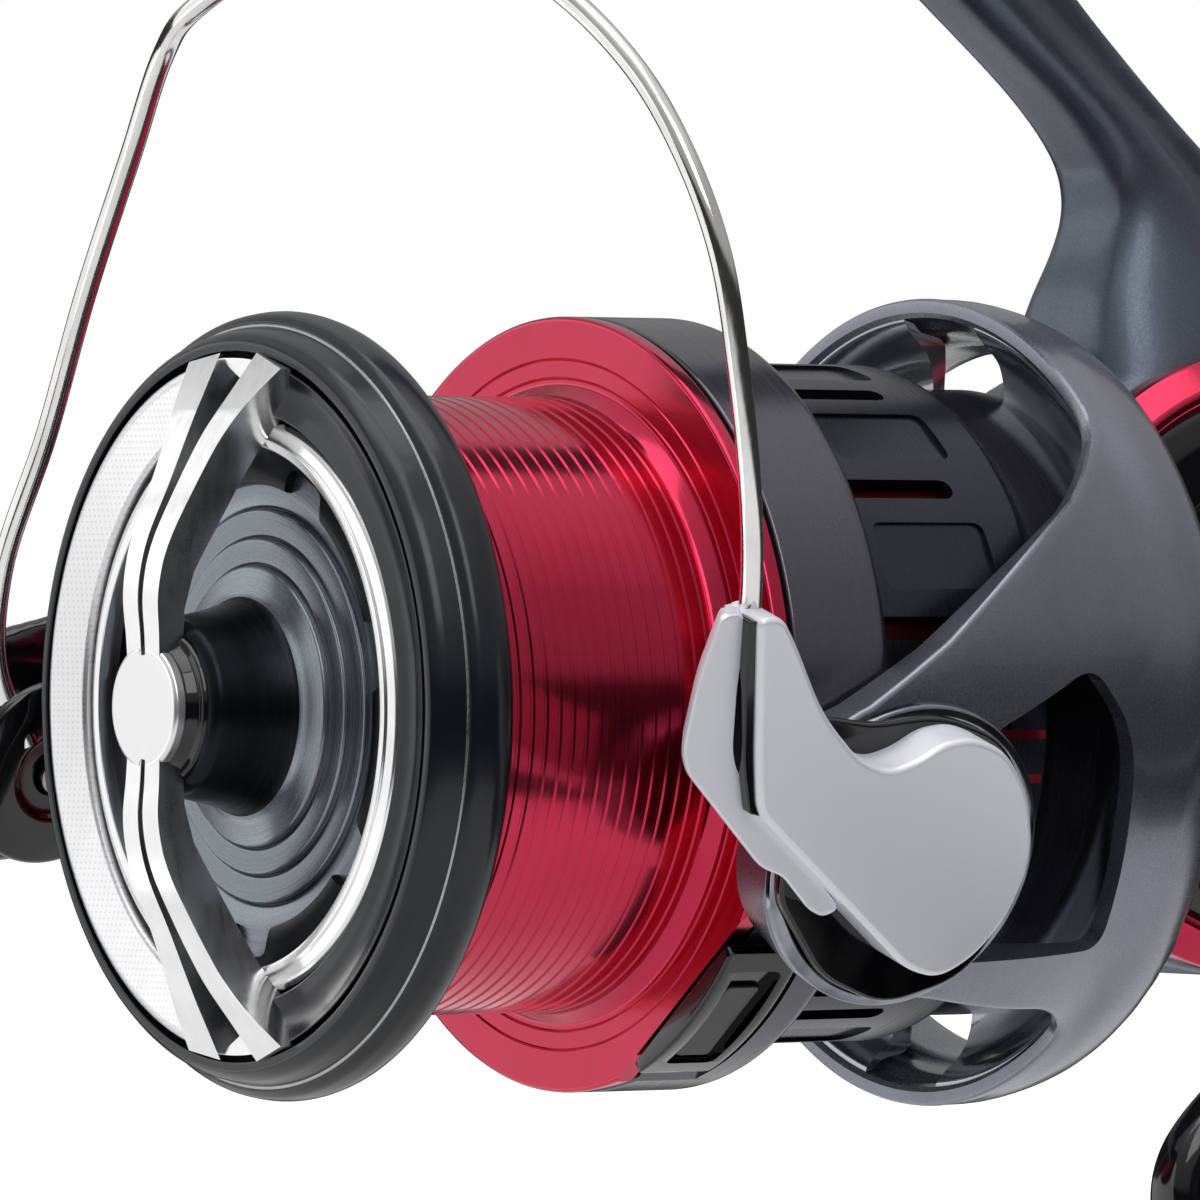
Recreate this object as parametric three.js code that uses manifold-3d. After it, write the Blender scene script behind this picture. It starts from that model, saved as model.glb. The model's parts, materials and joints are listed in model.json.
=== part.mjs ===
// Spinning reel, 2500 size: a fixed-spool fishing reel built as its separate pieces.
// Millimetres, +Z up. The pieces are first laid out about the main shaft: Y runs back along the shaft
// from the face of the spool's rear flange, X points to the handle side and Z up to the foot.
// The last lines move everything so that the origin is the middle of the foot's mounting face.
import * as THREE from 'three';
import { mergeVertices } from 'three/addons/utils/BufferGeometryUtils.js';
import Module from 'manifold-3d';

const wasm = await Module();
wasm.setup();

// ---- Driving dimensions ------------------------------------------------------------------------
const GAP = 0.3; // clearance between neighbouring pieces
const FOOT = { top: 62, middle: 17, length: 62, width: 15, edge: 1.4 };
const SHAFT_RADIUS = 1.5;
const ROTOR_TURN = THREE.MathUtils.degToRad(18); // the near rotor arm rests this far below level

const SPOOL = {
  flange: 24.5, flangeBack: 1.2, arbor: 19.4, arborInner: 18.4, arborFront: -19.5,
  well: 15, webFront: -12.5, webBack: -11, hub: 7, clipAngle: -53, clipChord: 22.9,
};
const SKIRT = {
  front: 24.5, wall: 0.8, step: 8.7, rear: 21.7, back: 23.5,
  slots: 14, slotWidth: 1.4, slotFront: 10, slotBack: 18.6,
};
const KNOB = { rim: 21.7, ringInner: 17.5, face: -24.5, hub: 6, tip: -30.2, bridgeSpread: 3.45 };

const DRUM = { outer: 20.2, inner: 18.6, front: 4, back: 30 };
const ARM = { pivotY: 7, boss: 9.8, inner: 25.4, pin: 2 };
const BAIL_WIRE_RADIUS = 0.7;
const ROLLER = { y: -20, w: -13, radius: 3.5 };
const LEVER = { inside: -29.9, outside: -32.6, head: 8.2 };

const PINION = { teeth: 8, tip: 3.4, root: 2.4, bore: 1.8, front: 32.6, back: 36.2 };
const DRIVE = { y: 49.5, z: 4, teeth: 42, tipX: 2.75, rootX: 3.9, backX: 6, inner: 14.7, outer: 16.6 };
const CRANK = { y: 57, z: -4.5, radius: 6.5, smallTeeth: 12, smallPitch: 4, bigTeeth: 22, bigPitch: 7.33 };
const SLIDER_BACK = 68.2;
const CASE = { y: 49.5, z: 2.5, radius: 20.4, left: -10, right: 7.4, tail: 73 };
const COVER = { radius: 18.3, ring: 20.2, inner: 7.7, outer: 11, frontCut: 35 };
const HANDLE = {
  length: 42.3, angle: 232.8, hub: 6.5, waist: 4, eye: 6.2, hubX: 24.4, eyeX: 37.6, knobX: 43.4, knobEnd: 70,
};

// ---- Materials ---------------------------------------------------------------------------------
function paint(color, roughness, metalness) {
  return new THREE.MeshStandardMaterial({ color, roughness, metalness });
}

const RED = paint(0xc8102e, 0.35, 0.8);
const BLACK_GLOSS = paint(0x0c0d10, 0.15, 0.2);
const CHARCOAL = paint(0x1d1e22, 0.4, 0.6);
const GUNMETAL = paint(0x3d434c, 0.35, 0.6);
const BODY_GREY = paint(0x39404a, 0.55, 0.5);
const CHROME = paint(0xd8d8d6, 0.12, 1);
const SATIN_SILVER = paint(0xb9bcc4, 0.35, 0.8);
const STEEL = paint(0x9a9c9e, 0.3, 1);
const BRASS = paint(0xb08d45, 0.35, 1);
const CARBON = paint(0x18181a, 0.7, 0);

// ---- Shape helpers -----------------------------------------------------------------------------

// A closed surface with shared corners and its faces pointing out.
function closed(geometry) {
  const bare = geometry.clone();
  bare.deleteAttribute('normal');
  bare.deleteAttribute('uv');
  const merged = mergeVertices(bare, 1e-4);
  const at = merged.getAttribute('position');
  const corner = [new THREE.Vector3(), new THREE.Vector3(), new THREE.Vector3()];
  const kept = [];
  let volume = 0;
  for (let i = 0; i < merged.index.count; i += 3) {
    const [a, b, c] = [0, 1, 2].map((k) => merged.index.getX(i + k));
    if (a === b || b === c || c === a) continue;
    kept.push(a, b, c);
    corner.forEach((v, k) => v.fromBufferAttribute(at, [a, b, c][k]));
    volume += corner[0].dot(corner[1].clone().cross(corner[2]));
  }
  if (volume < 0) kept.reverse();
  merged.setIndex(kept);
  return merged;
}

// The same surface as a solid that can be joined and cut.
function solid(geometry) {
  const shell = closed(geometry);
  const mesh = new wasm.Mesh({
    numProp: 3,
    vertProperties: new Float32Array(shell.getAttribute('position').array),
    triVerts: new Uint32Array(shell.index.array),
  });
  return new wasm.Manifold(mesh);
}

function surface(body) {
  const mesh = body.getMesh();
  const geometry = new THREE.BufferGeometry();
  geometry.setAttribute('position', new THREE.BufferAttribute(mesh.vertProperties, 3));
  geometry.setIndex(new THREE.BufferAttribute(mesh.triVerts, 1));
  return geometry;
}

// One named piece, from a geometry or from a joined and cut solid.
function piece(name, shape, material) {
  const geometry = shape.isBufferGeometry ? closed(shape) : surface(shape);
  geometry.computeVertexNormals();
  const mesh = new THREE.Mesh(geometry, material);
  mesh.name = name;
  return mesh;
}

// A turned shape about the Y axis, from [along, radius] points.
function turned(profile, segments = 20) {
  const points = profile.map(([along, radius]) => new THREE.Vector2(radius, along));
  return new THREE.LatheGeometry(points, segments);
}

function ring(from, to, inner, outer, segments = 14) {
  return turned([[from, inner], [from, outer], [to, outer], [to, inner], [from, inner]], segments);
}

function rod(from, to, radius, segments = 14) {
  return turned([[from, 0], [from, radius], [to, radius], [to, 0]], segments);
}

// Lays a shape made about the Y axis along X, at a height and distance back.
function alongX(geometry, y = 0, z = 0) {
  return geometry.rotateZ(-Math.PI / 2).translate(0, y, z);
}

// A closed outline from corner points [a, b, r], each rounded off r from the corner, or less where
// the sides that meet there are short.
function outline(points) {
  const shape = new THREE.Shape();
  const count = points.length;
  points.forEach(([a, b, wanted = 0], i) => {
    const here = new THREE.Vector2(a, b);
    const before = new THREE.Vector2(...points[(i + count - 1) % count].slice(0, 2)).sub(here);
    const after = new THREE.Vector2(...points[(i + 1) % count].slice(0, 2)).sub(here);
    const r = Math.min(wanted, 0.45 * before.length(), 0.45 * after.length());
    const start = here.clone().add(before.setLength(r));
    const end = here.clone().add(after.setLength(r));
    if (i === 0) shape.moveTo(start.x, start.y);
    else shape.lineTo(start.x, start.y);
    if (r > 0) shape.quadraticCurveTo(a, b, end.x, end.y);
  });
  shape.closePath();
  return shape;
}

// Two round ends joined by straight sides, as a closed outline.
function strap(a, ra, b, rb, steps = 10) {
  const along = new THREE.Vector2(b[0] - a[0], b[1] - a[1]);
  const lean = Math.acos((ra - rb) / along.length());
  const points = [];
  for (let i = 0; i <= steps; i += 1) {
    const t = along.angle() + lean + ((2 * Math.PI - 2 * lean) * i) / steps;
    points.push(new THREE.Vector2(a[0] + ra * Math.cos(t), a[1] + ra * Math.sin(t)));
  }
  for (let i = 0; i <= steps; i += 1) {
    const t = along.angle() - lean + (2 * lean * i) / steps;
    points.push(new THREE.Vector2(b[0] + rb * Math.cos(t), b[1] + rb * Math.sin(t)));
  }
  return new THREE.Shape(points);
}

// A shape drawn in (Y, Z), from one X to another.
function prismX(shape, from, to, curveSegments = 4) {
  const geometry = new THREE.ExtrudeGeometry(shape, { depth: to - from, bevelEnabled: false, curveSegments });
  const turn = new THREE.Matrix4().makeBasis(
    new THREE.Vector3(0, 1, 0), new THREE.Vector3(0, 0, 1), new THREE.Vector3(1, 0, 0));
  return geometry.applyMatrix4(turn).translate(from, 0, 0);
}

// A shape drawn in (X, Z), from one Y to another.
function prismY(shape, from, to, curveSegments = 4, bevel = 0) {
  const geometry = new THREE.ExtrudeGeometry(shape, {
    depth: to - from - 2 * bevel, curveSegments, bevelEnabled: bevel > 0,
    bevelThickness: bevel, bevelSize: bevel, bevelOffset: -bevel, bevelSegments: 2,
  });
  return geometry.rotateX(Math.PI / 2).translate(0, to - bevel, 0);
}

// A shape drawn in (X, Y), from one Z to another.
function prismZ(shape, from, to, curveSegments = 4) {
  const geometry = new THREE.ExtrudeGeometry(shape, { depth: to - from, bevelEnabled: false, curveSegments });
  return geometry.translate(0, 0, from);
}

function box(x0, x1, y0, y1, z0, z1) {
  const block = new THREE.BoxGeometry(x1 - x0, y1 - y0, z1 - z0);
  return block.translate((x0 + x1) / 2, (y0 + y1) / 2, (z0 + z1) / 2);
}

// A round wire of several steps along a smooth curve.
function wire(curve, radius, steps, sides) {
  const section = new THREE.Shape();
  section.absarc(0, 0, radius, 0, 2 * Math.PI);
  return new THREE.ExtrudeGeometry(section, { steps, extrudePath: curve, curveSegments: sides });
}

function coil(from, to, radius, wireRadius, turns) {
  const points = [];
  const perTurn = 8;
  for (let i = 0; i <= turns * perTurn; i += 1) {
    const t = (2 * Math.PI * i) / perTurn;
    const along = from + ((to - from) * i) / (turns * perTurn);
    points.push(new THREE.Vector3(radius * Math.cos(t), along, radius * Math.sin(t)));
  }
  return wire(new THREE.CatmullRomCurve3(points), wireRadius, turns * perTurn, 3);
}

// The (Y, Z) or (X, Z) outline of a spur gear with a bore.
function gearOutline(teeth, root, tip, bore, toothShare = 0.42) {
  const shape = new THREE.Shape();
  const pitch = (2 * Math.PI) / teeth;
  for (let i = 0; i < teeth; i += 1) {
    const corners = [
      [root, -0.5 * toothShare], [tip, -0.3 * toothShare], [tip, 0.3 * toothShare], [root, 0.5 * toothShare],
    ];
    corners.forEach(([radius, share], k) => {
      const t = (i + share) * pitch;
      const point = [radius * Math.cos(t), radius * Math.sin(t)];
      if (i === 0 && k === 0) shape.moveTo(...point);
      else shape.lineTo(...point);
    });
  }
  shape.closePath();
  const hole = new THREE.Path();
  hole.absarc(0, 0, bore, 0, 2 * Math.PI, true);
  shape.holes.push(hole);
  return shape;
}

// ---- Spool -------------------------------------------------------------------------------------

// The wedge that the line clip's seat cuts off the flange and the skirt.
function clipSeat(depth) {
  const cut = box(SPOOL.clipChord, 30, -1, depth, -12, 12);
  return solid(cut.rotateY(-THREE.MathUtils.degToRad(SPOOL.clipAngle)));
}

function makeSpool() {
  const s = SPOOL;
  const profile = [
    [s.flangeBack, s.arborInner], [s.flangeBack, s.flange], [0, s.flange], [0, s.arbor + 1],
    [-0.3, s.arbor + 0.3], [-1, s.arbor], [s.arborFront, s.arbor], [s.arborFront, s.well],
    [s.webFront, s.well], [s.webFront, 2.2], [-10.4, 2.2], [-10.4, 4.8], [-6.2, 4.8], [-6.2, s.hub],
    [s.webBack, s.hub], [s.webBack, 16.2], [-18.3, 16.2], [-18.3, s.arborInner], [s.flangeBack, s.arborInner],
  ];
  return piece('spool', solid(turned(profile, 30)).subtract(clipSeat(6)), RED);
}

function makeSkirt() {
  const k = SKIRT;
  const front = SPOOL.flangeBack + GAP;
  const profile = [
    [front, 19], [front, k.front], [k.step, k.front], [k.step + 0.8, k.rear], [k.back, k.rear],
    [k.back, k.rear - k.wall], [k.step + 0.2, k.rear - k.wall], [k.step - 0.8, k.front - k.wall],
    [front + 1, k.front - k.wall], [front + 1, 19], [front, 19],
  ];
  let body = solid(turned(profile, 28)).subtract(clipSeat(6));
  for (let i = 0; i < k.slots; i += 1) {
    const slot = box(k.rear - 2, k.rear + 1, k.slotFront, k.slotBack, -k.slotWidth / 2, k.slotWidth / 2);
    body = body.subtract(solid(slot.rotateY((2 * Math.PI * (i + 0.5)) / k.slots)));
  }
  return piece('spool_skirt', body, CHARCOAL);
}

function makeSpoolLip() {
  const profile = [
    [-18.6, 19.7], [-18.6, 23.4], [-19.3, 24.3], [-20.5, 24.6], [-22, 24.5], [-23.3, 23.9], [-24, 23.1],
    [-24.3, 22.4], [-24, KNOB.rim + 0.4], [-20, KNOB.rim + 0.4], [-20, 19.7], [-18.6, 19.7],
  ];
  return piece('spool_lip', turned(profile, 30), BLACK_GLOSS);
}

// A shallow block that fills the flat cut in the flange and stands just proud of the skirt.
function makeLineClip() {
  const outer = solid(rod(-0.2, 5.6, SPOOL.flange + 0.4, 30));
  const inner = SPOOL.clipChord + GAP;
  const block = box(inner, 30, -2, 10, -6.4, 6.4).rotateY(-THREE.MathUtils.degToRad(SPOOL.clipAngle));
  return piece('line_clip', outer.intersect(solid(block)), BLACK_GLOSS);
}

function makeSpoolGroup() {
  const group = new THREE.Group();
  const eared = gearOutline(4, 13.2, 14.4, 2.2, 0.3);
  group.add(
    makeSpool(), makeSkirt(), makeSpoolLip(), makeLineClip(),
    piece('spool_bearing', ring(-9.9, -7, 1.9, 4.5), STEEL),
    piece('drag_washer_lower', ring(-13.5, -12.8, 2.2, 14), CARBON),
    piece('drag_washer_eared', prismY(eared, -14.4, -13.8, 8), STEEL),
    piece('drag_washer_upper', ring(-15.3, -14.7, 2.2, 13.2), CARBON),
    piece('drag_retaining_ring', ring(-16, -15.6, 14, 14.7), STEEL),
    piece('click_ring', prismY(gearOutline(18, 9.4, 10.4, 7.4), -10.6, -9.8, 6), STEEL),
  );
  return group;
}

// ---- Drag knob ---------------------------------------------------------------------------------

function makeDragKnobBody() {
  const k = KNOB;
  const back = -16.4;
  const plate = -20.6;
  const profile = [
    [-27.6, 0], [-27.6, 4.2], [back, 4.2], [back, 6.4], [plate, 6.4], [plate, 13.6], [back, 13.6],
    [back, 14.6], [plate, 14.6], [plate, k.rim], [-21.6, k.rim], [-21.6, k.ringInner - GAP],
    [-23.6, k.ringInner - GAP], [-23.6, 15.6], [-22, 15.2], [-22, 12], [-22.4, 12], [-22.4, 10], [-23, 10],
    [-23, 8], [-23.6, 8], [-23.6, k.hub], [k.tip + 1.6, k.hub], [k.tip + 1.6, 0],
  ];
  return piece('drag_knob', turned(profile, 20), CHARCOAL);
}

// The silver ring in the knob's rim with the four bars that rise from it, in two narrow Vs, to the hub.
function makeTrim() {
  const k = KNOB;
  const back = -21.9;
  const silver = solid(turned([
    [back, k.ringInner], [back, k.rim], [k.face + 0.4, k.rim], [k.face, k.rim - 0.4],
    [k.face, k.ringInner + 0.4], [k.face + 0.4, k.ringInner], [back, k.ringInner],
  ], 28));
  const underMiddle = k.tip + 1.3;
  const side = outline([
    [k.tip, 0], [k.tip, 3.6], [k.face, k.rim - 0.4], [k.face + 1, k.rim - 0.4], [k.face + 1, 17],
    [underMiddle + 1.3, k.hub + GAP], [underMiddle, k.hub + GAP], [underMiddle, 0],
  ]);
  const fall = solid(prismX(side, -8, 8));
  let half = solid(rod(k.tip + 0.6, underMiddle, 4.4, 32));
  for (const lean of [-1, 1]) {
    const bar = outline([
      [lean * 0.2, 0], [lean * (k.bridgeSpread - 1), k.rim],
      [lean * (k.bridgeSpread + 1), k.rim], [lean * 2, 0],
    ]);
    half = half.add(solid(prismY(bar, -32, -22)).intersect(fall));
  }
  const capSeat = solid(rod(-40, k.tip + 0.6, 3.5, 32));
  const whole = half.add(solid(surface(half).rotateY(Math.PI)));
  return piece('drag_knob_trim', whole.subtract(capSeat).add(silver), CHROME);
}

function makeDragKnobGroup() {
  const group = new THREE.Group();
  const nut = outline([0, 1, 2, 3, 4, 5].map((i) => {
    const t = (Math.PI * i) / 3;
    return [3.9 * Math.cos(t), 3.9 * Math.sin(t)];
  }));
  const nutHole = new THREE.Path();
  nutHole.absarc(0, 0, SHAFT_RADIUS + GAP, 0, 2 * Math.PI, true);
  nut.holes.push(nutHole);
  group.add(
    makeDragKnobBody(), makeTrim(),
    piece('drag_knob_cap', rod(KNOB.tip - 0.3, KNOB.tip + 0.3, 3.2, 32), SATIN_SILVER),
    piece('drag_nut', prismY(nut, -23, -20, 6), BRASS),
    piece('drag_spring', coil(-19.4, -16.2, 2.9, 0.35, 4), STEEL),
  );
  return group;
}

// ---- Main shaft and slider ---------------------------------------------------------------------

function makeSlider() {
  const block = solid(box(-3.5, 2.1, 61, SLIDER_BACK, -12, -1.9));
  const upright = solid(box(-3.5, 2.1, 66, SLIDER_BACK, -3, 3.4));
  const slot = solid(box(-4, -1.6, 62.2, 64.8, -11.2, 2.4));
  const hole = solid(rod(60, 70, 1.4).translate(-0.2, 0, -9.8));
  const seat = solid(rod(60, 66.9, SHAFT_RADIUS + GAP));
  return piece('slider_block', block.add(upright).subtract(slot).subtract(hole).subtract(seat), BRASS);
}

function makeShaftGroup() {
  const group = new THREE.Group();
  group.add(
    piece('main_shaft', turned([
      [-26.8, 0], [-26.8, 1.2], [-26.4, SHAFT_RADIUS], [66.5, SHAFT_RADIUS], [66.5, 0],
    ], 20), STEEL),
    makeSlider(),
    piece('slider_screw', turned([
      [SLIDER_BACK + GAP, 0], [SLIDER_BACK + GAP, 2.2], [SLIDER_BACK + 1.3, 1.8], [SLIDER_BACK + 1.3, 0],
    ], 16), STEEL),
    piece('spool_seat', ring(-5.8, -4.6, SHAFT_RADIUS + GAP, 4.2), BRASS),
  );
  return group;
}

// ---- Rotor -------------------------------------------------------------------------------------

// The side outline of one arm, running back into the hoop, in (Y, W).
function armOutline() {
  const shape = new THREE.Shape();
  const { pivotY, boss } = ARM;
  const start = THREE.MathUtils.degToRad(105);
  const end = THREE.MathUtils.degToRad(255);
  shape.moveTo(37, 28.5);
  shape.lineTo(28.2, 28.5);
  shape.quadraticCurveTo(28.2, 23.2, 24.2, 20.8);
  shape.lineTo(8.2, 11.8);
  shape.lineTo(pivotY + boss * Math.cos(start), boss * Math.sin(start) + 0.6);
  shape.absarc(pivotY, 0, boss, start, end, false);
  shape.lineTo(12.3, -10.4);
  shape.lineTo(24.8, -12.6);
  shape.quadraticCurveTo(28.2, -13.6, 28.2, -20);
  shape.lineTo(28.2, -28.5);
  shape.lineTo(37, -28.5);
  shape.closePath();
  return shape;
}

function makeRotor() {
  const shell = solid(turned([
    [-4, ARM.inner], [-4, 29.2], [7, 29.3], [18, 28.4], [24, 27.2], [28, 26.1],
    [31, 25.9], [34, 24.9], [36, 22.8],
    [35, 22.6], [31.5, 23.8], [28, 24.9], [24, ARM.inner], [-4, ARM.inner],
  ], 32));
  const hoop = solid(rod(28, 40, 40, 12));
  const arms = solid(prismX(armOutline(), -40, 40, 4));
  const window = outline([
    [11.8, -7.6, 1], [12.6, 0, 4], [11.4, 6.2, 1], [14.4, 7.8],
    [21.8, 11, 1.4], [25.6, 6.6, 3], [26.6, -7.8, 1.2],
  ]);
  const farWindow = new THREE.Shape(window.getPoints(4).map((p) => new THREE.Vector2(p.x, -p.y)));
  let rotor = shell.intersect(hoop.add(farSymmetric(arms)));
  rotor = rotor.subtract(solid(prismX(window, 0, 40))).subtract(solid(prismX(farWindow, -40, 0)));

  const drum = solid(turned([
    [DRUM.front, 3.4], [DRUM.front, DRUM.outer - 1], [DRUM.front + 1, DRUM.outer], [DRUM.back, DRUM.outer],
    [DRUM.back, DRUM.inner], [DRUM.front + 1.6, DRUM.inner], [DRUM.front + 1.6, 6], [12, 6], [12, 3.4],
    [DRUM.front, 3.4],
  ], 24));
  rotor = rotor.add(drum);
  for (const side of [1, -1]) {
    const spoke = box(19.3, 25.9, 26.8, 30.6, -12, 12);
    rotor = rotor.add(solid(spoke.rotateY(side > 0 ? 0 : Math.PI)));
    const pinHole = alongX(rod(20, 40, ARM.pin + GAP), ARM.pivotY);
    const springSeat = alongX(rod(27, 40, 5.4), ARM.pivotY);
    if (side < 0) pinHole.rotateZ(Math.PI).translate(0, 2 * ARM.pivotY, 0);
    rotor = rotor.subtract(solid(pinHole));
    if (side > 0) rotor = rotor.subtract(solid(springSeat));
  }
  return piece('rotor', rotor, GUNMETAL);
}

// The far arm is the near one turned half way round the shaft.
function farSymmetric(arms) {
  const near = arms.intersect(solid(box(0, 41, -10, 45, -40, 40)));
  return near.add(solid(surface(near).rotateY(Math.PI)));
}

function makePinion() {
  const p = PINION;
  const sleeve = solid(ring(1, p.back, p.bore, 3, 16));
  const outlineOfTeeth = gearOutline(p.teeth, p.root, p.tip, p.bore, 0.3);
  const teeth = solid(prismY(outlineOfTeeth, p.front, p.back, 8).rotateY(-ROTOR_TURN));
  const neck = solid(ring(p.front - 0.01, p.back + 1, p.root + 0.001, 6));
  return piece('pinion_gear', sleeve.subtract(neck).add(teeth), BRASS);
}

function makeRotorGroup() {
  const group = new THREE.Group();
  const hex = outline([0, 1, 2, 3, 4, 5].map((i) => {
    const t = (Math.PI * i) / 3;
    return [6 * Math.cos(t), 6 * Math.sin(t)];
  }));
  const hexHole = new THREE.Path();
  hexHole.absarc(0, 0, 3 + GAP, 0, 2 * Math.PI, true);
  hex.holes.push(hexHole);
  const nearPin = turned([
    [25.5, 0], [25.5, ARM.pin], [32.4, ARM.pin], [32.4, 0],
  ], 20);
  const farPin = turned([
    [25.5, 0], [25.5, ARM.pin], [32.9, ARM.pin], [32.9, 4], [33.6, 4], [34.2, 3.2], [34.2, 0],
  ], 24);
  group.add(
    makeRotor(), makePinion(),
    piece('rotor_nut', prismY(hex, 1, 3.7, 6), STEEL),
    piece('clutch_sleeve', ring(17, 27, 3 + GAP, 4.6), STEEL),
    piece('bail_pivot_pin', alongX(nearPin, ARM.pivotY), STEEL),
    piece('lever_pivot_screw', alongX(farPin.rotateX(Math.PI), ARM.pivotY), CHROME),
    piece('bail_spring', alongX(coil(27.6, 29, 3.6, 0.35, 2), ARM.pivotY), STEEL),
  );
  return group;
}

// ---- Bail --------------------------------------------------------------------------------------

const WIRE_START = [31.2, -8.9, 13.4];
const WIRE_END = [[-26.8, -24.8, 0], [-26.4, -24.2, -6.5], [-25.1, -22.2, -11]];

// The wire rises from the holder, arches over the spool's front and falls to the line roller.
function makeBailWire() {
  const points = [
    WIRE_START, [31.2, -9.5, 18.5], [31, -10.6, 23.8], [29.6, -12.1, 31.1], [27.6, -13.5, 37.6],
    [24, -14.8, 42.7], [18.5, -16, 46.8], [11, -18.4, 50], [3, -22, 51], [-5, -25.6, 47.4],
    [-12, -27.6, 41.4], [-17.5, -25.8, 37], [-22, -24.1, 29.2], [-25, -23.8, 19.2], [-26.2, -24.2, 9.4],
    ...WIRE_END,
  ];
  const curve = new THREE.CatmullRomCurve3(points.map((p) => new THREE.Vector3(...p)), false, 'centripetal');
  return piece('bail_wire', wire(curve, BAIL_WIRE_RADIUS, 40, 3), CHROME);
}

// Main plate with its round lobe over the pivot, and the lower wing that carries the wire's end.
function makeBailHolder() {
  const lobe = outline([
    [-10.8, 16.3, 0.8], [-8.4, 16.4, 1.4], [-4.6, 10.8, 3], [0.4, 6.8, 2.4], [3.2, 7.2, 1.5], [7.2, 9.4, 3],
    [12.4, 7, 3.5], [14.2, 1.6, 3], [9.6, -6, 3], [6, -7, 2], [-7.6, 4.4, 2], [-10.4, 7.9, 1.5],
  ]);
  const wing = outline([
    [-10.9, 16.2, 0.8], [-8.4, 16.3, 1.2], [-6, 8], [3.4, 0], [1.4, -3, 1], [-0.9, -2.7, 1], [-3.6, -0.5, 1],
    [-5.2, 0.2, 1], [-12.1, 7.4, 1.5],
  ]);
  const pinHole = solid(alongX(rod(29, 32.8, ARM.pin + GAP), ARM.pivotY));
  const body = solid(prismX(lobe, 29.9, 33.8, 4)).add(solid(prismX(wing, 29.9, 32.6, 3)));
  const [wireU, wireY, wireW] = WIRE_START;
  const hole = rod(-wireW - 6, -wireW + GAP, BAIL_WIRE_RADIUS + 0.4, 12);
  const wireHole = solid(hole.rotateX(-Math.PI / 2).translate(wireU, wireY - 0.2, 0));
  return piece('bail_holder', body.subtract(pinHole).subtract(wireHole), SATIN_SILVER);
}

// The far-side lever carries the line roller between itself and the wire's inner cone.
function makeLever() {
  const plan = strap([ARM.pivotY, 0], 6.4, [ROLLER.y, ROLLER.w], LEVER.head, 14);
  const plate = solid(prismX(plan, LEVER.outside, LEVER.inside));
  const pivotHole = alongX(rod(-34, -28, ARM.pin + GAP), ARM.pivotY);
  const rollerHole = alongX(rod(-34, -28, 1.5), ROLLER.y, ROLLER.w);
  const lever = plate.subtract(solid(pivotHole)).subtract(solid(rollerHole));
  return piece('line_roller_lever', lever, BLACK_GLOSS);
}

function makeWireCone() {
  const cone = solid(alongX(turned([
    [-26.1, 1.5], [-26.1, 3.2], [-25.2, 3], [-24.4, 1.8], [-24.4, 1.5], [-26.1, 1.5],
  ]), ROLLER.y, ROLLER.w));
  const wireEnd = new THREE.CatmullRomCurve3(WIRE_END.map((p) => new THREE.Vector3(...p)));
  return piece('wire_cone', cone.subtract(solid(wire(wireEnd, BAIL_WIRE_RADIUS + GAP, 5, 3))), CHROME);
}

function makeRollerGroup() {
  const group = new THREE.Group();
  const roller = turned([
    [-29.5, 2.4], [-29.5, ROLLER.radius], [-28.6, ROLLER.radius], [-28.2, 2.9], [-27.8, 2.9],
    [-27.2, ROLLER.radius], [-26.5, ROLLER.radius], [-26.5, 2.4], [-29.5, 2.4],
  ], 24);
  group.add(
    piece('line_roller', alongX(roller, ROLLER.y, ROLLER.w), CHROME),
    piece('line_roller_bearing', alongX(ring(-29.2, -26.8, 1.5, 2.1), ROLLER.y, ROLLER.w), STEEL),
  );
  return group;
}

function makeBailGroup() {
  const group = new THREE.Group();
  const screw = turned([
    [-33.8, 0], [-33.8, 2.2], [-33, 2.6], [-33, 1.2], [-24.6, 1.2], [-24.6, 0],
  ], 20);
  group.add(
    makeBailWire(), makeBailHolder(), makeLever(), makeWireCone(),
    piece('line_roller_screw', alongX(screw, ROLLER.y, ROLLER.w), STEEL),
    makeRollerGroup(),
  );
  return group;
}

// ---- Body --------------------------------------------------------------------------------------

function caseCylinder(radius, from, to, centreZ = CASE.z, segments = 28) {
  return solid(alongX(rod(from, to, radius, segments), CASE.y, centreZ));
}

// The side view of the gear case's tail and of its hollow, in (Y, Z).
function tailOutline(inset) {
  return outline([
    [48, CASE.z + CASE.radius - inset, 0], [57, 19.5 - inset, 5], [CASE.tail - inset, 6 - inset, 4],
    [CASE.tail - inset, -14.5 + inset, 2], [56, CASE.z - CASE.radius + 1.2 + inset, 4],
    [48, CASE.z - CASE.radius + inset, 0],
  ]);
}

// Stem and foot are the overlap of a side view and a front view, so both taper.
function makeStem() {
  const side = new THREE.Shape();
  side.moveTo(39.2, 14);
  side.quadraticCurveTo(39.6, 22, 40.8, 26.2);
  side.quadraticCurveTo(43.8, 31.4, 42.4, 34.4);
  side.quadraticCurveTo(39.2, 39.4, 32.3, 44.6);
  side.quadraticCurveTo(21.2, 52.6, 13.5, 59.4);
  side.lineTo(13.5, 61);
  side.lineTo(31.2, 61);
  side.quadraticCurveTo(30.8, 54.2, 37.2, 48);
  side.quadraticCurveTo(51.2, 36.4, 55.6, 30);
  side.quadraticCurveTo(59.2, 24, 59.7, 16);
  side.closePath();
  const front = outline([
    [-9.9, 12], [-8.6, 22], [-5, 30, 3], [-3.5, 44, 8], [-4.6, 56, 3], [-7.2, 60.2], [-7.2, 61.5],
    [7.2, 61.5], [7.2, 60.2], [4.6, 56, 3], [3.5, 44, 8], [5, 30, 3], [7.3, 22], [7.3, 12],
  ]);
  return solid(prismX(side, -12, 12, 4)).intersect(solid(prismY(front, 5, 65, 4)));
}

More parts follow.
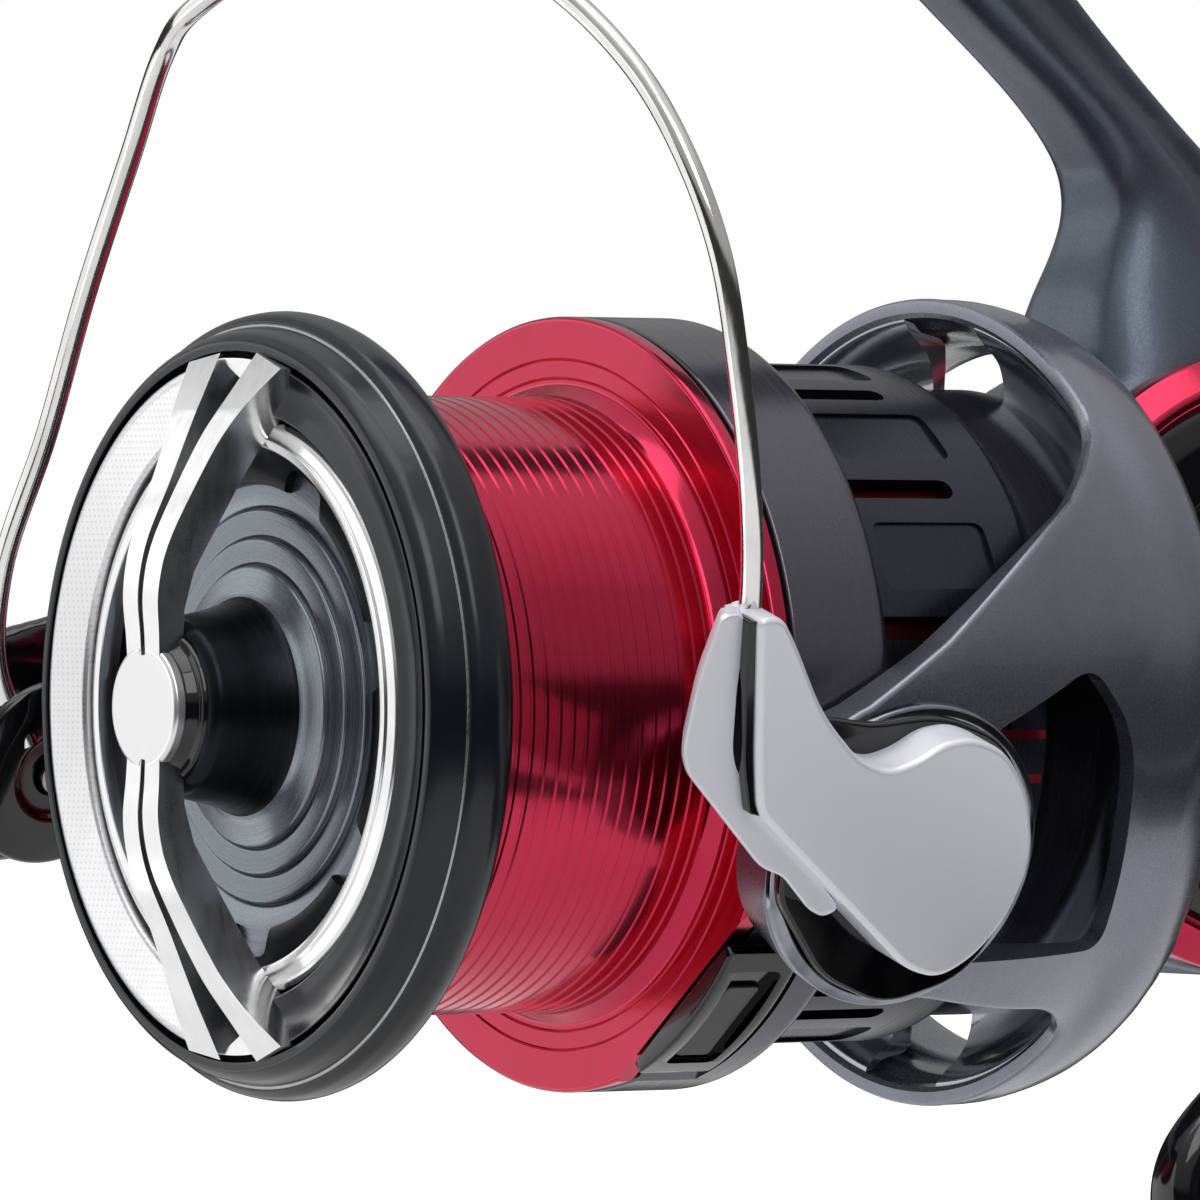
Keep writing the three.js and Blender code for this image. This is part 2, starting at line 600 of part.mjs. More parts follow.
function makeFoot() {
  const { top, middle, length, width, edge } = FOOT;
  const ends = [middle - length / 2, middle + length / 2];
  const plan = outline([
    [-width / 2, middle - 12, 6], [-width / 2, middle + 12, 6], [-4.4, ends[1], 3.4], [4.4, ends[1], 3.4],
    [width / 2, middle + 12, 6], [width / 2, middle - 12, 6], [4.4, ends[0], 3.4], [-4.4, ends[0], 3.4],
  ]);
  const side = outline([
    [ends[0] - 1, top], [ends[0] - 1, top - edge], [0, top - 2.4, 4], [8, top - 3.4, 3], [34, top - 3.6, 3],
    [40, top - 2.4, 4], [ends[1] + 1, top - edge], [ends[1] + 1, top],
  ]);
  return solid(prismZ(plan, top - 8, top, 4)).intersect(solid(prismX(side, -10, 10)));
}

function makeReelBody() {
  const far = -8.4; // inside face of the wall on the far side
  const wall = 1.7;
  let body = caseCylinder(CASE.radius, CASE.left, CASE.right);
  body = body.add(solid(prismX(tailOutline(0), CASE.left + 0.8, CASE.right - 0.8)));
  body = body.add(makeStem()).add(makeFoot());
  body = body.add(solid(rod(31.3, 34.5, 19.3)));
  body = body.add(solid(rod(27.9, 33, 8.6)));
  body = body.add(solid(alongX(rod(-12, -8, 7), DRIVE.y, DRIVE.z)));

  const gearRoom = caseCylinder(17.6, far, 12, 3.2);
  const tailRoom = solid(prismX(tailOutline(wall), far + 0.4, CASE.right - 0.8 - wall));
  body = body.subtract(gearRoom).subtract(tailRoom);
  body = body.subtract(solid(rod(27, 31, 6.8))).subtract(solid(rod(30, 34, 3.7)));
  body = body.subtract(solid(alongX(rod(-13, -9, 5.2), DRIVE.y, DRIVE.z)));
  body = body.subtract(solid(alongX(rod(-10, far + 1, 3.4), DRIVE.y, DRIVE.z)));
  const stud = alongX(rod(far - 0.5, -4.9, 1.5), CRANK.y, CRANK.z);
  body = body.add(solid(stud));
  return piece('reel_body', body, BODY_GREY);
}

function makeSideCover() {
  const c = COVER;
  const plate = [
    [c.inner, 16.6], [c.inner, c.radius], [9.6, c.radius], [c.outer, 16.6], [c.outer, 0], [9.4, 0],
    [9.4, 15.4], [c.inner, 16.6],
  ];
  const boss = alongX(rod(8, 13, 7), DRIVE.y, DRIVE.z);
  let cover = solid(alongX(turned(plate, 28), CASE.y, CASE.z)).add(solid(boss));
  cover = cover.subtract(solid(alongX(rod(7, 11.2, 5.2), DRIVE.y, DRIVE.z)));
  cover = cover.subtract(solid(alongX(rod(10, 14, 3.6), DRIVE.y, DRIVE.z)));
  cover = cover.subtract(solid(box(0, 20, 20, c.frontCut, -30, 30)));
  for (const place of coverScrewPlaces()) {
    cover = cover.subtract(solid(alongX(rod(9.9, 12, 2.1, 10), ...place)));
  }
  return piece('side_cover', cover, BLACK_GLOSS);
}

function coverScrewPlaces() {
  return [15, 75, 285].map((degrees) => {
    const t = THREE.MathUtils.degToRad(degrees);
    return [CASE.y + 13.6 * Math.cos(t), CASE.z + 13.6 * Math.sin(t)];
  });
}

function makeCoverRing() {
  const c = COVER;
  const profile = [
    [c.inner, c.radius + GAP], [c.inner, c.ring], [10.4, c.ring], [c.outer, c.ring - 0.6],
    [c.outer, c.radius + GAP], [c.inner, c.radius + GAP],
  ];
  const whole = solid(alongX(turned(profile, 32), CASE.y, CASE.z));
  return piece('side_cover_ring', whole.subtract(solid(box(0, 20, 20, c.frontCut, -30, 30))), RED);
}

function makeRearCover() {
  const section = outline([
    [CASE.left + 1.4, 5.2, 4], [CASE.right - 1.4, 5.2, 4],
    [CASE.right - 1.4, -13.8, 4], [CASE.left + 1.4, -13.8, 4],
  ]);
  return piece('rear_cover', prismY(section, CASE.tail + GAP, CASE.tail + 6.5, 3, 2), BLACK_GLOSS);
}

function makeBodyGroup() {
  const group = new THREE.Group();
  const cap = turned([
    [-14, 0], [-14, 5.4], [-13.4, 6.4], [-12.3, 6.4], [-12.3, 4.8], [-11.7, 4.8], [-11.7, 0],
  ], 28);
  group.add(
    makeReelBody(), makeSideCover(), makeCoverRing(), makeRearCover(),
    piece('pinion_bearing', ring(28, 30.8, 3 + GAP, 6.5), STEEL),
    piece('clutch_cage', ring(17.2, 27, 4.9, 6.3), STEEL),
    piece('clutch_race', ring(17.2, 27, 6.6, 9.6), STEEL),
    piece('clutch_housing', ring(16.8, 27.4, 9.9, 13.2, 32), CHARCOAL),
    piece('drive_bearing_near', alongX(ring(8.4, 10.8, 2.4, 4.9), DRIVE.y, DRIVE.z), STEEL),
    piece('drive_bearing_far', alongX(ring(-11.4, -9.3, 2.4, 4.9), DRIVE.y, DRIVE.z), STEEL),
    piece('far_side_cap', alongX(cap, DRIVE.y, DRIVE.z), BLACK_GLOSS),
    piece('slider_guide_rod', rod(43, 66.4, 1.1, 12).translate(-0.2, 0, -9.8), STEEL),
  );
  coverScrewPlaces().forEach((place, i) => {
    group.add(piece(`cover_screw_${i + 1}`, alongX(rod(10.2, 10.9, 1.8, 10), ...place), STEEL));
  });
  return group;
}

// ---- Drive gear, shaft and oscillation gear ----------------------------------------------------

// A face gear: slots cut parallel to the pinion, repeated about the handle's axis.
function makeDriveGear() {
  const d = DRIVE;
  const disc = turned([
    [d.rootX, 2.4], [d.rootX, d.inner], [d.tipX, d.inner], [d.tipX, d.outer], [d.backX, d.outer],
    [d.backX, 5], [7.2, 5], [7.2, 2.4], [d.rootX, 2.4],
  ], 21);
  let gear = solid(alongX(disc));
  for (let i = 0; i < d.teeth; i += 1) {
    const slot = box(0, d.rootX, -20, -10, -d.z - 0.75, -d.z + 0.75);
    gear = gear.subtract(solid(slot.rotateX((2 * Math.PI * i) / d.teeth)));
  }
  const mesh = piece('drive_gear', gear, BRASS);
  mesh.position.set(0, d.y, d.z);
  return mesh;
}

function makeDriveShaft() {
  const profile = [
    [-11.2, 0], [-11.2, 2.1], [10.6, 2.1], [10.6, 1.4], [3, 1.4], [3, 0],
  ];
  return piece('drive_shaft', alongX(turned(profile, 20), DRIVE.y, DRIVE.z), STEEL);
}

// The direction from the drive shaft's middle to the oscillation gear's, where a tooth meets a gap.
const MESH_ANGLE = Math.atan2(CRANK.z - DRIVE.z, CRANK.y - DRIVE.y);

function spurTeeth(teeth, pitchRadius, bore) {
  return prismX(gearOutline(teeth, pitchRadius - 0.75, pitchRadius + 0.5, bore, 0.38), -7.5, -5.5, 6);
}

function makeSmallGear() {
  const teeth = spurTeeth(CRANK.smallTeeth, CRANK.smallPitch, 2.4).rotateX(MESH_ANGLE);
  return piece('oscillation_pinion', teeth.translate(0, DRIVE.y, DRIVE.z), BRASS);
}

function makeCrankGear() {
  const c = CRANK;
  const gapTurn = MESH_ANGLE + Math.PI + Math.PI / c.bigTeeth;
  const teeth = solid(spurTeeth(c.bigTeeth, c.bigPitch, 1.8).rotateX(gapTurn));
  const pin = solid(alongX(rod(-6, -3.8, 1, 12), c.radius, 0));
  const mesh = piece('oscillation_gear', teeth.add(pin), STEEL);
  mesh.position.set(0, c.y, c.z);
  return mesh;
}

// ---- Handle ------------------------------------------------------------------------------------

// The arm is drawn with its length along Y from the handle's axis and swung into place.
function makeHandleArm() {
  const h = HANDLE;
  const side = outline([
    [h.hubX, -6.5, 1], [h.hubX + 4.8, -6.5, 1.5], [h.hubX + 4.8, 7.5, 2], [h.eyeX + 4.6, h.length - 13, 7],
    [h.eyeX + 4.6, h.length + 6.2, 1], [h.eyeX, h.length + 6.2, 1], [h.eyeX, h.length - 10, 7],
    [h.hubX, 8, 5],
  ]);
  const sideView = new THREE.ExtrudeGeometry(side, { depth: 16, bevelEnabled: false, curveSegments: 4 });
  const hubRound = solid(alongX(rod(20, 50, h.hub, 20)));
  const eyeRound = solid(alongX(rod(20, 50, h.eye, 20), h.length));
  const plan = hubRound.add(eyeRound).add(solid(box(20, 50, 0, h.length, -h.waist, h.waist)));
  const body = solid(sideView.translate(0, 0, -8)).intersect(plan);
  const eye = solid(alongX(rod(30, 50, 1.9), h.length));
  const hub = solid(alongX(rod(20, 30, 2.4)));
  return piece('handle_arm', body.subtract(eye).subtract(hub), BLACK_GLOSS);
}

function makeHandleGroup() {
  const h = HANDLE;
  const group = new THREE.Group();
  group.position.set(0, DRIVE.y, DRIVE.z);
  group.rotation.x = THREE.MathUtils.degToRad(h.angle);
  const shank = turned([
    [4, 0], [4, 1.1], [13.4, 1.1], [13.4, 5.6], [15, 5.6], [16, 4.2], [22, 4], [24, 5], [24, 2], [28.8, 2],
    [28.8, 0],
  ], 20);
  const cap = turned([
    [29.6, 0], [29.6, 5], [30.6, 4.5], [31, 3], [31, 0],
  ], 20);
  const spindle = turned([
    [36.6, 0], [36.6, 3], [37.3, 3], [37.3, 1.6], [69, 1.6], [69, 0],
  ], 20);
  const knob = turned([
    [h.knobX, 1.9], [h.knobX, 4.4], [h.knobX + 1.6, 6.2], [h.knobX + 5, 5.8], [h.knobX + 12, 4.8],
    [h.knobX + 18, 5.8], [h.knobEnd - 3, 7.4], [h.knobEnd - 0.8, 7], [h.knobEnd, 5.4], [h.knobEnd, 3.4],
    [h.knobEnd - 0.8, 3.4], [h.knobEnd - 0.8, 1.9], [h.knobX, 1.9],
  ], 24);
  const plug = rod(h.knobEnd - 0.4, h.knobEnd + 0.3, 3);
  group.add(
    piece('handle_shank', alongX(shank), CHROME),
    makeHandleArm(),
    piece('handle_arm_cap', alongX(cap), BLACK_GLOSS),
    piece('knob_spindle', alongX(spindle, h.length), STEEL),
    piece('handle_knob', alongX(knob, h.length), BLACK_GLOSS),
    piece('handle_knob_cap', alongX(plug, h.length), RED),
  );
  return group;
}

// ---- Assembly ----------------------------------------------------------------------------------

const turning = new THREE.Group();
turning.rotation.y = ROTOR_TURN;
turning.add(makeRotorGroup(), makeBailGroup());

const reel = new THREE.Group();
reel.position.set(0, -FOOT.middle, -FOOT.top);
reel.add(
  makeBodyGroup(), makeSpoolGroup(), makeDragKnobGroup(), makeShaftGroup(), turning,
  makeDriveGear(), makeDriveShaft(), makeSmallGear(), makeCrankGear(), makeHandleGroup(),
);

const model = new THREE.Group();
model.add(reel);
export default model;
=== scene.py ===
"""The looks of a 2500-size spinning reel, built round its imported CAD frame.

Shapes are drawn in millimetres in the shaft frame: Y runs back along the main shaft from the face of the
spool's rear flange, X points to the handle side and Z up to the foot. Pieces that turn with the rotor are
drawn in its own frame, with u through the two arms and w across them.
"""

import json
import math

import bmesh
import bpy
from mathutils import Matrix, Vector


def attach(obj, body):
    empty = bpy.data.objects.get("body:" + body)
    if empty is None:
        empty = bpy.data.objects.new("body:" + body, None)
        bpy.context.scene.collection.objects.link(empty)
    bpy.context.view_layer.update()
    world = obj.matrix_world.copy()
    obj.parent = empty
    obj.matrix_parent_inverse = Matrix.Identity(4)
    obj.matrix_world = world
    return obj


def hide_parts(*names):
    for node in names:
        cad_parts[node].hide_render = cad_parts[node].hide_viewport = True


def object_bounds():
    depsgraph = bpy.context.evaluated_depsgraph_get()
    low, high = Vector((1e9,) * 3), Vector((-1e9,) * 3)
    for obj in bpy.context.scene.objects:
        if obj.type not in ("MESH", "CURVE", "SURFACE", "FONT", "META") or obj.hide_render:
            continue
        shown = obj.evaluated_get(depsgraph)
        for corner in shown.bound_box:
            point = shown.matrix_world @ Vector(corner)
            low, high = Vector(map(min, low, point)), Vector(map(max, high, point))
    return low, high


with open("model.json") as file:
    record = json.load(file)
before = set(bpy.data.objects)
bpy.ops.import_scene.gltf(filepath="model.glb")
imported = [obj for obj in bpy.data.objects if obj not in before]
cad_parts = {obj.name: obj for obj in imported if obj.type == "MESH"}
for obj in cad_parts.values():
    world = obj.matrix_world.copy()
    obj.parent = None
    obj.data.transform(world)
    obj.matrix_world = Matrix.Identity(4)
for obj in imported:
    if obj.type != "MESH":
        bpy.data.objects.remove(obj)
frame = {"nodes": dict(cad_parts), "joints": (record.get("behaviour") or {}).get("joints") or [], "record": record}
cad_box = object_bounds()

# ---- Frames --------------------------------------------------------------------------------------

MM = 0.001
JOINTS = {joint["name"]: joint for joint in frame["joints"]}
SHAFT_AT = Vector(JOINTS["spool_slip"]["pos_m"])
SHAFT = Matrix.Translation(SHAFT_AT) @ Matrix.Scale(MM, 4)
ARM_AXIS = Vector(JOINTS["bail_flip"]["axis"])
ROTOR_TURN = math.atan2(-ARM_AXIS.z, ARM_AXIS.x)
ROTOR = SHAFT @ Matrix.Rotation(ROTOR_TURN, 4, "Y")

CRANK_AT = Vector(JOINTS["handle_turn"]["pos_m"])
EYE_AT = Vector(JOINTS["knob_spin"]["pos_m"])
ARM_LENGTH = (EYE_AT - CRANK_AT).length / MM
ARM_ANGLE = math.atan2(EYE_AT.z - CRANK_AT.z, EYE_AT.y - CRANK_AT.y)
HANDLE = Matrix.Translation(CRANK_AT) @ Matrix.Scale(MM, 4) @ Matrix.Rotation(ARM_ANGLE, 4, "X")

PIVOT_Y = (JOINTS["bail_flip"]["pos_m"][1] - SHAFT_AT.y) / MM
ROLLER_Y = (JOINTS["line_roller_spin"]["pos_m"][1] - SHAFT_AT.y) / MM
ROLLER_W = (JOINTS["line_roller_spin"]["pos_m"][2] - SHAFT_AT.z) / MM / math.cos(ROTOR_TURN)
DRIVE_Y = (CRANK_AT.y - SHAFT_AT.y) / MM
DRIVE_Z = (CRANK_AT.z - SHAFT_AT.z) / MM
CASE_Y = DRIVE_Y
CASE_Z = 2.5
GEAR_ROOM_Z = 3.2
ROTOR_ROOM = (0, 20, 20, 35, -30, 30)

# ---- Camera --------------------------------------------------------------------------------------

VIEW_AZIMUTH = math.radians(56)
VIEW_DISTANCE = 0.7
VIEW_CENTRE = SHAFT_AT + Vector((0, 3.4, 6.6)) * MM


def make_camera():
    data = bpy.data.cameras.new("camera")
    data.sensor_width = 36
    data.lens = 331.8
    data.clip_start = 0.05
    data.clip_end = 20
    camera = bpy.data.objects.new("camera", data)
    bpy.context.scene.collection.objects.link(camera)
    back = Vector((math.sin(VIEW_AZIMUTH), -math.cos(VIEW_AZIMUTH), 0))
    camera.location = VIEW_CENTRE + back * VIEW_DISTANCE
    camera.rotation_euler = (-back).to_track_quat("-Z", "Y").to_euler()
    bpy.context.scene.camera = camera


make_camera()

# ---- Outlines ------------------------------------------------------------------------------------


def rounded(points, steps=5):
    """Corner points (a, b[, r]) of a closed outline, each rounded off r from the corner."""
    done = []
    for i, point in enumerate(points):
        here = Vector(point[:2])
        wanted = point[2] if len(point) > 2 else 0
        before = Vector(points[i - 1][:2]) - here
        after = Vector(points[(i + 1) % len(points)][:2]) - here
        r = min(wanted, 0.45 * before.length, 0.45 * after.length)
        if r <= 0:
            done.append(here)
            continue
        start = here + before.normalized() * r
        end = here + after.normalized() * r
        for k in range(steps + 1):
            t = k / steps
            done.append((1 - t) ** 2 * start + 2 * t * (1 - t) * here + t * t * end)
    return done


def smooth_path(points, steps=8):
    """Points of any dimension on a smooth curve through the given ones."""
    pts = [Vector(p) for p in points]
    pts = [2 * pts[0] - pts[1]] + pts + [2 * pts[-1] - pts[-2]]
    done = []
    for a, b, c, d in zip(pts, pts[1:], pts[2:], pts[3:]):
        ta, tb, tc = ((q - p).length ** 0.5 for p, q in ((a, b), (b, c), (c, d)))
        leave = ((b - a) / ta - (c - a) / (ta + tb) + (c - b) / tb) * tb
        arrive = ((c - b) / tb - (d - b) / (tb + tc) + (d - c) / tc) * tb
        for k in range(steps):
            t = k / steps
            done.append(
                b * (2 * t**3 - 3 * t**2 + 1)
                + leave * (t**3 - 2 * t**2 + t)
                + c * (3 * t**2 - 2 * t**3)
                + arrive * (t**3 - t**2)
            )
    return done + [pts[-2]]


def directions(path):
    """The way a path runs at each of its points."""
    ends = zip([path[0]] + path[:-1], path[1:] + [path[-1]])
    return [(after - before).normalized() for before, after in ends]


def between(knots, x, soft=False):
    """A value between (x, value) knots, joined by straight lines or by soft steps."""
    if x <= knots[0][0]:
        return knots[0][1]
    for (x0, v0), (x1, v1) in zip(knots, knots[1:]):
        if x <= x1:
            t = (x - x0) / (x1 - x0)
            if soft:
                t = t * t * (3 - 2 * t)
            return v0 + (v1 - v0) * t
    return knots[-1][1]


def panel(a0, a1, b0, b1, r=0.0, steps=4):
    """A rectangle with rounded corners."""
    return rounded([(a0, b0, r), (a1, b0, r), (a1, b1, r), (a0, b1, r)], steps)


def power(value, exponent):
    """A power that keeps the sign: it squares up the sine and cosine of a circle."""
    return math.copysign(abs(value) ** exponent, value)


def circle(a, b, radius, count):
    turns = [2 * math.pi * i / count for i in range(count)]
    return [Vector((a + radius * math.cos(t), b + radius * math.sin(t))) for t in turns]


# ---- Solids --------------------------------------------------------------------------------------


LEVEL = 1e-5
WELD = 1e-4


def solid(verts, faces):
    mesh = bpy.data.meshes.new("part")
    mesh.from_pydata([tuple(v) for v in verts], [], faces)
    bm = bmesh.new()
    bm.from_mesh(mesh)
    bmesh.ops.remove_doubles(bm, verts=bm.verts, dist=WELD)
    bmesh.ops.recalc_face_normals(bm, faces=bm.faces)
    bm.to_mesh(mesh)
    bm.free()
    part = bpy.data.objects.new("part", mesh)
    bpy.context.scene.collection.objects.link(part)
    return part


def skin(sections, closed=False):
    """A solid over equal rings of points, joined end to end or with its two ends closed."""
    total, count = len(sections), len(sections[0])
    faces = []
    for s in range(total if closed else total - 1):
        n = (s + 1) % total
        for k in range(count):
            m = (k + 1) % count
            if sections[s][k] == sections[n][k] and sections[s][m] == sections[n][m]:
                continue
            faces.append((s * count + k, s * count + m, n * count + m, n * count + k))
    if not closed:
        faces += [tuple(range(count)), tuple(range((total - 1) * count, total * count))]
    return solid([p for section in sections for p in section], faces)


def lathe(profile, segments=192, steps=5):
    """A turned solid about the Y axis from closed [along, radius[, fillet]] corners."""
    line = rounded(profile, steps)
    return skin([[(p[1] * c, p[0], p[1] * s) for p in line] for c, s in circle(0, 0, 1, segments)], True)


def lathe_across(profile, y=0.0, z=0.0, segments=96):
    """A lathe about a line along X, from [x, radius] corners."""
    part = lathe(profile, segments)
    return turned(part, Matrix.Translation((0, y, z)) @ Matrix.Rotation(-math.pi / 2, 4, "Z"))


def plug(x0, x1, radius, y, z, segments):
    """A plain round bar along X."""
    return lathe_across([(x0, 0), (x0, radius), (x1, radius), (x1, 0)], y, z, segments)


def prism(outline, low, high, axis, bevel=0.0, segments=3):
    """An outline drawn across one axis, from low to high along it, with its two rims bevelled."""
    index = "XYZ".index(axis)
    sections = []
    for level in (low, high):
        sections.append([(*p[:index], level, *p[index:2]) for p in outline])
    part = skin(sections)
    if bevel > 0:
        soften(part, bevel, segments, along=index)
    return part


def block(x0, x1, y0, y1, z0, z1):
    return prism(panel(x0, x1, y0, y1), z0, z1, "Z")


def soften(part, width, segments=3, angle=35, along=None):
    """Bevels the edges that turn sharply: all of them, or those square to one axis."""
    bm = bmesh.new()
    bm.from_mesh(part.data)
    bm.normal_update()
    edges = [e for e in bm.edges if len(e.link_faces) == 2 and e.calc_face_angle(0) > math.radians(angle)]
    if along is not None:
        edges = [e for e in edges if abs(e.verts[0].co[along] - e.verts[1].co[along]) < LEVEL]
    bmesh.ops.bevel(
        bm, geom=edges, offset=width, segments=segments, profile=0.5, affect="EDGES", clamp_overlap=True
    )
    bm.to_mesh(part.data)
    bm.free()
    return part


def tube(path, radius, sides):
    """A round bar along a path of points."""
    pts = [Vector(p) for p in path]
    tangents = directions(pts)
    side = tangents[0].orthogonal().normalized()
    sections = []
    for point, tangent in zip(pts, tangents):
        side = (side - tangent * side.dot(tangent)).normalized()
        other = tangent.cross(side)
        sections.append([point + side * p[0] + other * p[1] for p in circle(0, 0, radius, sides)])
    return skin(sections)


def settle(part):
    """Makes the modifiers' result the part's own mesh."""
    graph = bpy.context.evaluated_depsgraph_get()
    mesh = bpy.data.meshes.new_from_object(part.evaluated_get(graph))
    part.modifiers.clear()
    part.data = mesh
    return part


def boolean(part, other, operation):
    change = part.modifiers.new(operation, "BOOLEAN")
    change.operation = operation
    change.object = other
    change.solver = "EXACT"
    settle(part)
    bpy.data.objects.remove(other)
    return part


def cut(part, other):
    return boolean(part, other, "DIFFERENCE")


def add(part, other):
    return boolean(part, other, "UNION")


def common(part, other):
    return boolean(part, other, "INTERSECT")


def turned(part, matrix):
    part.data.transform(matrix)
    return part


def melt(part, voxel, rounds):
    """Joins what overlaps into one skin, as a casting, and softens its corners."""
    remesh = part.modifiers.new("remesh", "REMESH")
    remesh.mode = "VOXEL"
    remesh.voxel_size = voxel
    smooth = part.modifiers.new("smooth", "SMOOTH")
    smooth.factor = 0.5
    smooth.iterations = rounds
    return settle(part)


def joined(parts):
    """Several parts as one, where they are meant to overlap."""
    bm = bmesh.new()
    for part in parts:
        bm.from_mesh(part.data)
    mesh = bpy.data.meshes.new("joined")
    bm.to_mesh(mesh)
    bm.free()
    for part in parts[1:]:
        bpy.data.objects.remove(part)
    parts[0].data = mesh
    return parts[0]


# The frame that each body's pieces are drawn in.
FRAMES = {
    "body": SHAFT, "spool": SHAFT, "drag_knob": SHAFT, "rotor": ROTOR, "bail": ROTOR, "line_roller": ROTOR,
    "drive": HANDLE, "handle_knob": HANDLE,
}


def finish_piece(part, name, body, material, replaces=(), sharp=38):
    """Puts a part drawn in its body's frame in place, with its material and body, and hides the CAD nodes it
    replaces.
    """
    looks = material if isinstance(material, list) else [material]
    part.name = name
    part.data.name = name
    part.data.transform(FRAMES[body])
    part.data.shade_smooth()
    part.data.set_sharp_from_angle(angle=math.radians(sharp))
    part.data.materials.clear()
    for look in looks:
        part.data.materials.append(look)
    even = part.modifiers.new("flat faces stay flat", "WEIGHTED_NORMAL")
    even.keep_sharp = True
    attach(part, body)
    if replaces:
        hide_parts(*replaces)


# ---- Materials -----------------------------------------------------------------------------------


def put_node(tree, kind, sockets=(), **settings):
    """A new node with its settings, and with numbers or links in its inputs."""
    node = tree.nodes.new("ShaderNode" + kind)
    for key, value in settings.items():
        setattr(node, key, value)
    for key, value in dict(sockets).items():
        if isinstance(value, bpy.types.NodeSocket):
            tree.links.new(value, node.inputs[key])
        else:
            node.inputs[key].default_value = value
    return node


class Finish:
    """A node material: a principled shader with the detail that its methods add."""

    def __init__(self, name, color, roughness, metallic=0.0, coat=0.0, coat_roughness=0.08, ior=1.5):
        self.material = bpy.data.materials.new(name)
        self.material.use_nodes = True
        self.tree = self.material.node_tree
        self.shader = self.tree.nodes["Principled BSDF"]
        self.color = color
        self.roughness = roughness
        self.set("Base Color", (*color, 1))
        self.set("Roughness", roughness)
        self.set("Metallic", metallic)
        self.set("Coat Weight", coat)
        self.set("Coat Roughness", coat_roughness)
        self.set("IOR", ior)

    def set(self, socket, value):
        self.shader.inputs[socket].default_value = value

    def drive(self, socket, output):
        self.tree.links.new(output, self.shader.inputs[socket])

    def node(self, kind, sockets=(), **settings):
        return put_node(self.tree, kind, sockets, **settings)

    def place(self, centre=(0, 0, 0), scale=(1, 1, 1)):
        """Coordinates fixed to the piece, in millimetres from a centre."""
        return self.node("Mapping", {
            "Vector": self.node("TexCoord").outputs["Object"],
            "Location": [-c / MM * s for c, s in zip(centre, scale)],
            "Scale": [s / MM for s in scale],
        }).outputs["Vector"]

    def round_place(self, scale):
        """(radius, along) about the shaft, so that marks run round it as a lathe leaves them."""
        split = self.node("SeparateXYZ", {0: self.place(SHAFT_AT, [scale] * 3)})
        flat = self.node("CombineXYZ", {"X": split.outputs["X"], "Y": split.outputs["Z"]})
        radius = self.node("VectorMath", {0: flat.outputs[0]}, operation="LENGTH").outputs["Value"]
        return self.node("CombineXYZ", {"X": radius, "Y": split.outputs["Y"]}).outputs[0]

    def noise(self, where, scale, detail=3.0):
        sockets = {"Vector": where, "Scale": scale, "Detail": detail, "Roughness": 0.6}
        return self.node("TexNoise", sockets).outputs["Fac"]

    def cells(self, where, scale, randomness=1.0):
        """The distance from the middle of each cell."""
        sockets = {"Vector": where, "Scale": scale, "Randomness": randomness}
        return self.node("TexVoronoi", sockets, feature="F1").outputs["Distance"]

    def ramp(self, value, low, high, start=0.35, end=0.65):
        sockets = {"Value": value, "From Min": start, "From Max": end, "To Min": low, "To Max": high}
        return self.node("MapRange", sockets).outputs["Result"]

    def tint(self, value, other, strength=1.0):
        """Mixes the colour towards another one where value is high."""
        share = self.node("Math", {0: value, 1: strength}, operation="MULTIPLY").outputs[0]
        base = self.shader.inputs["Base Color"]
        under = base.links[0].from_socket if base.is_linked else (*self.color, 1)
        mix = self.node("Mix", {"Factor": share, "A": under, "B": (*other, 1)}, data_type="RGBA")
        self.drive("Base Color", mix.outputs["Result"])

    def vary_roughness(self, value, spread):
        low, high = self.roughness - spread, self.roughness + spread
        self.drive("Roughness", self.ramp(value, max(0.02, low), high))

    def bump(self, value, depth_mm, strength):
        sockets = {"Height": value, "Strength": strength, "Distance": depth_mm * MM}
        self.drive("Normal", self.node("Bump", sockets).outputs["Normal"])


def red_anodised():
    """Satin red anodised aluminium, turned: fine rings that follow the lathe."""
    f = Finish("red_anodised", (0.54, 0.014, 0.058), 0.15, metallic=0.94, coat=0.35, coat_roughness=0.2)
    f.set("Coat IOR", 1.5)
    rings = f.noise(f.round_place(9), 1.0, 2)
    f.vary_roughness(rings, 0.03)
    f.bump(rings, 0.003, 0.5)
    soft = f.noise(f.place(SHAFT_AT), 0.12, 3)
    f.tint(f.ramp(soft, 0, 1), (0.64, 0.03, 0.09), 0.35)
    return f.material


def gloss_black(name="gloss_black", color=(0.006, 0.006, 0.008), roughness=0.10, coat=0.4):
    """Deep black lacquer with a faint orange-peel and dust-fine variation."""
    f = Finish(name, color, roughness, coat=coat, coat_roughness=0.05, ior=1.45)
    where = f.place()
    f.bump(f.noise(where, 0.9, 2), 0.004, 0.35)
    f.vary_roughness(f.noise(where, 0.25, 4), 0.03)
    f.tint(f.ramp(f.noise(where, 6, 2), 0, 1, 0.55, 0.8), (0.014, 0.016, 0.022), 0.6)
    return f.material


def satin_charcoal(name, color, roughness):
    """Satin dark anodised metal with turning marks."""
    f = Finish(name, color, roughness, metallic=0.85)
    rings = f.noise(f.round_place(7), 1.0, 3)
    f.vary_roughness(rings, 0.05)
    f.bump(rings, 0.005, 0.5)
    grain = f.noise(f.place(), 9, 2)
    f.tint(f.ramp(grain, 0, 1, 0.5, 0.8), [c * 1.9 for c in color], 0.5)
    return f.material


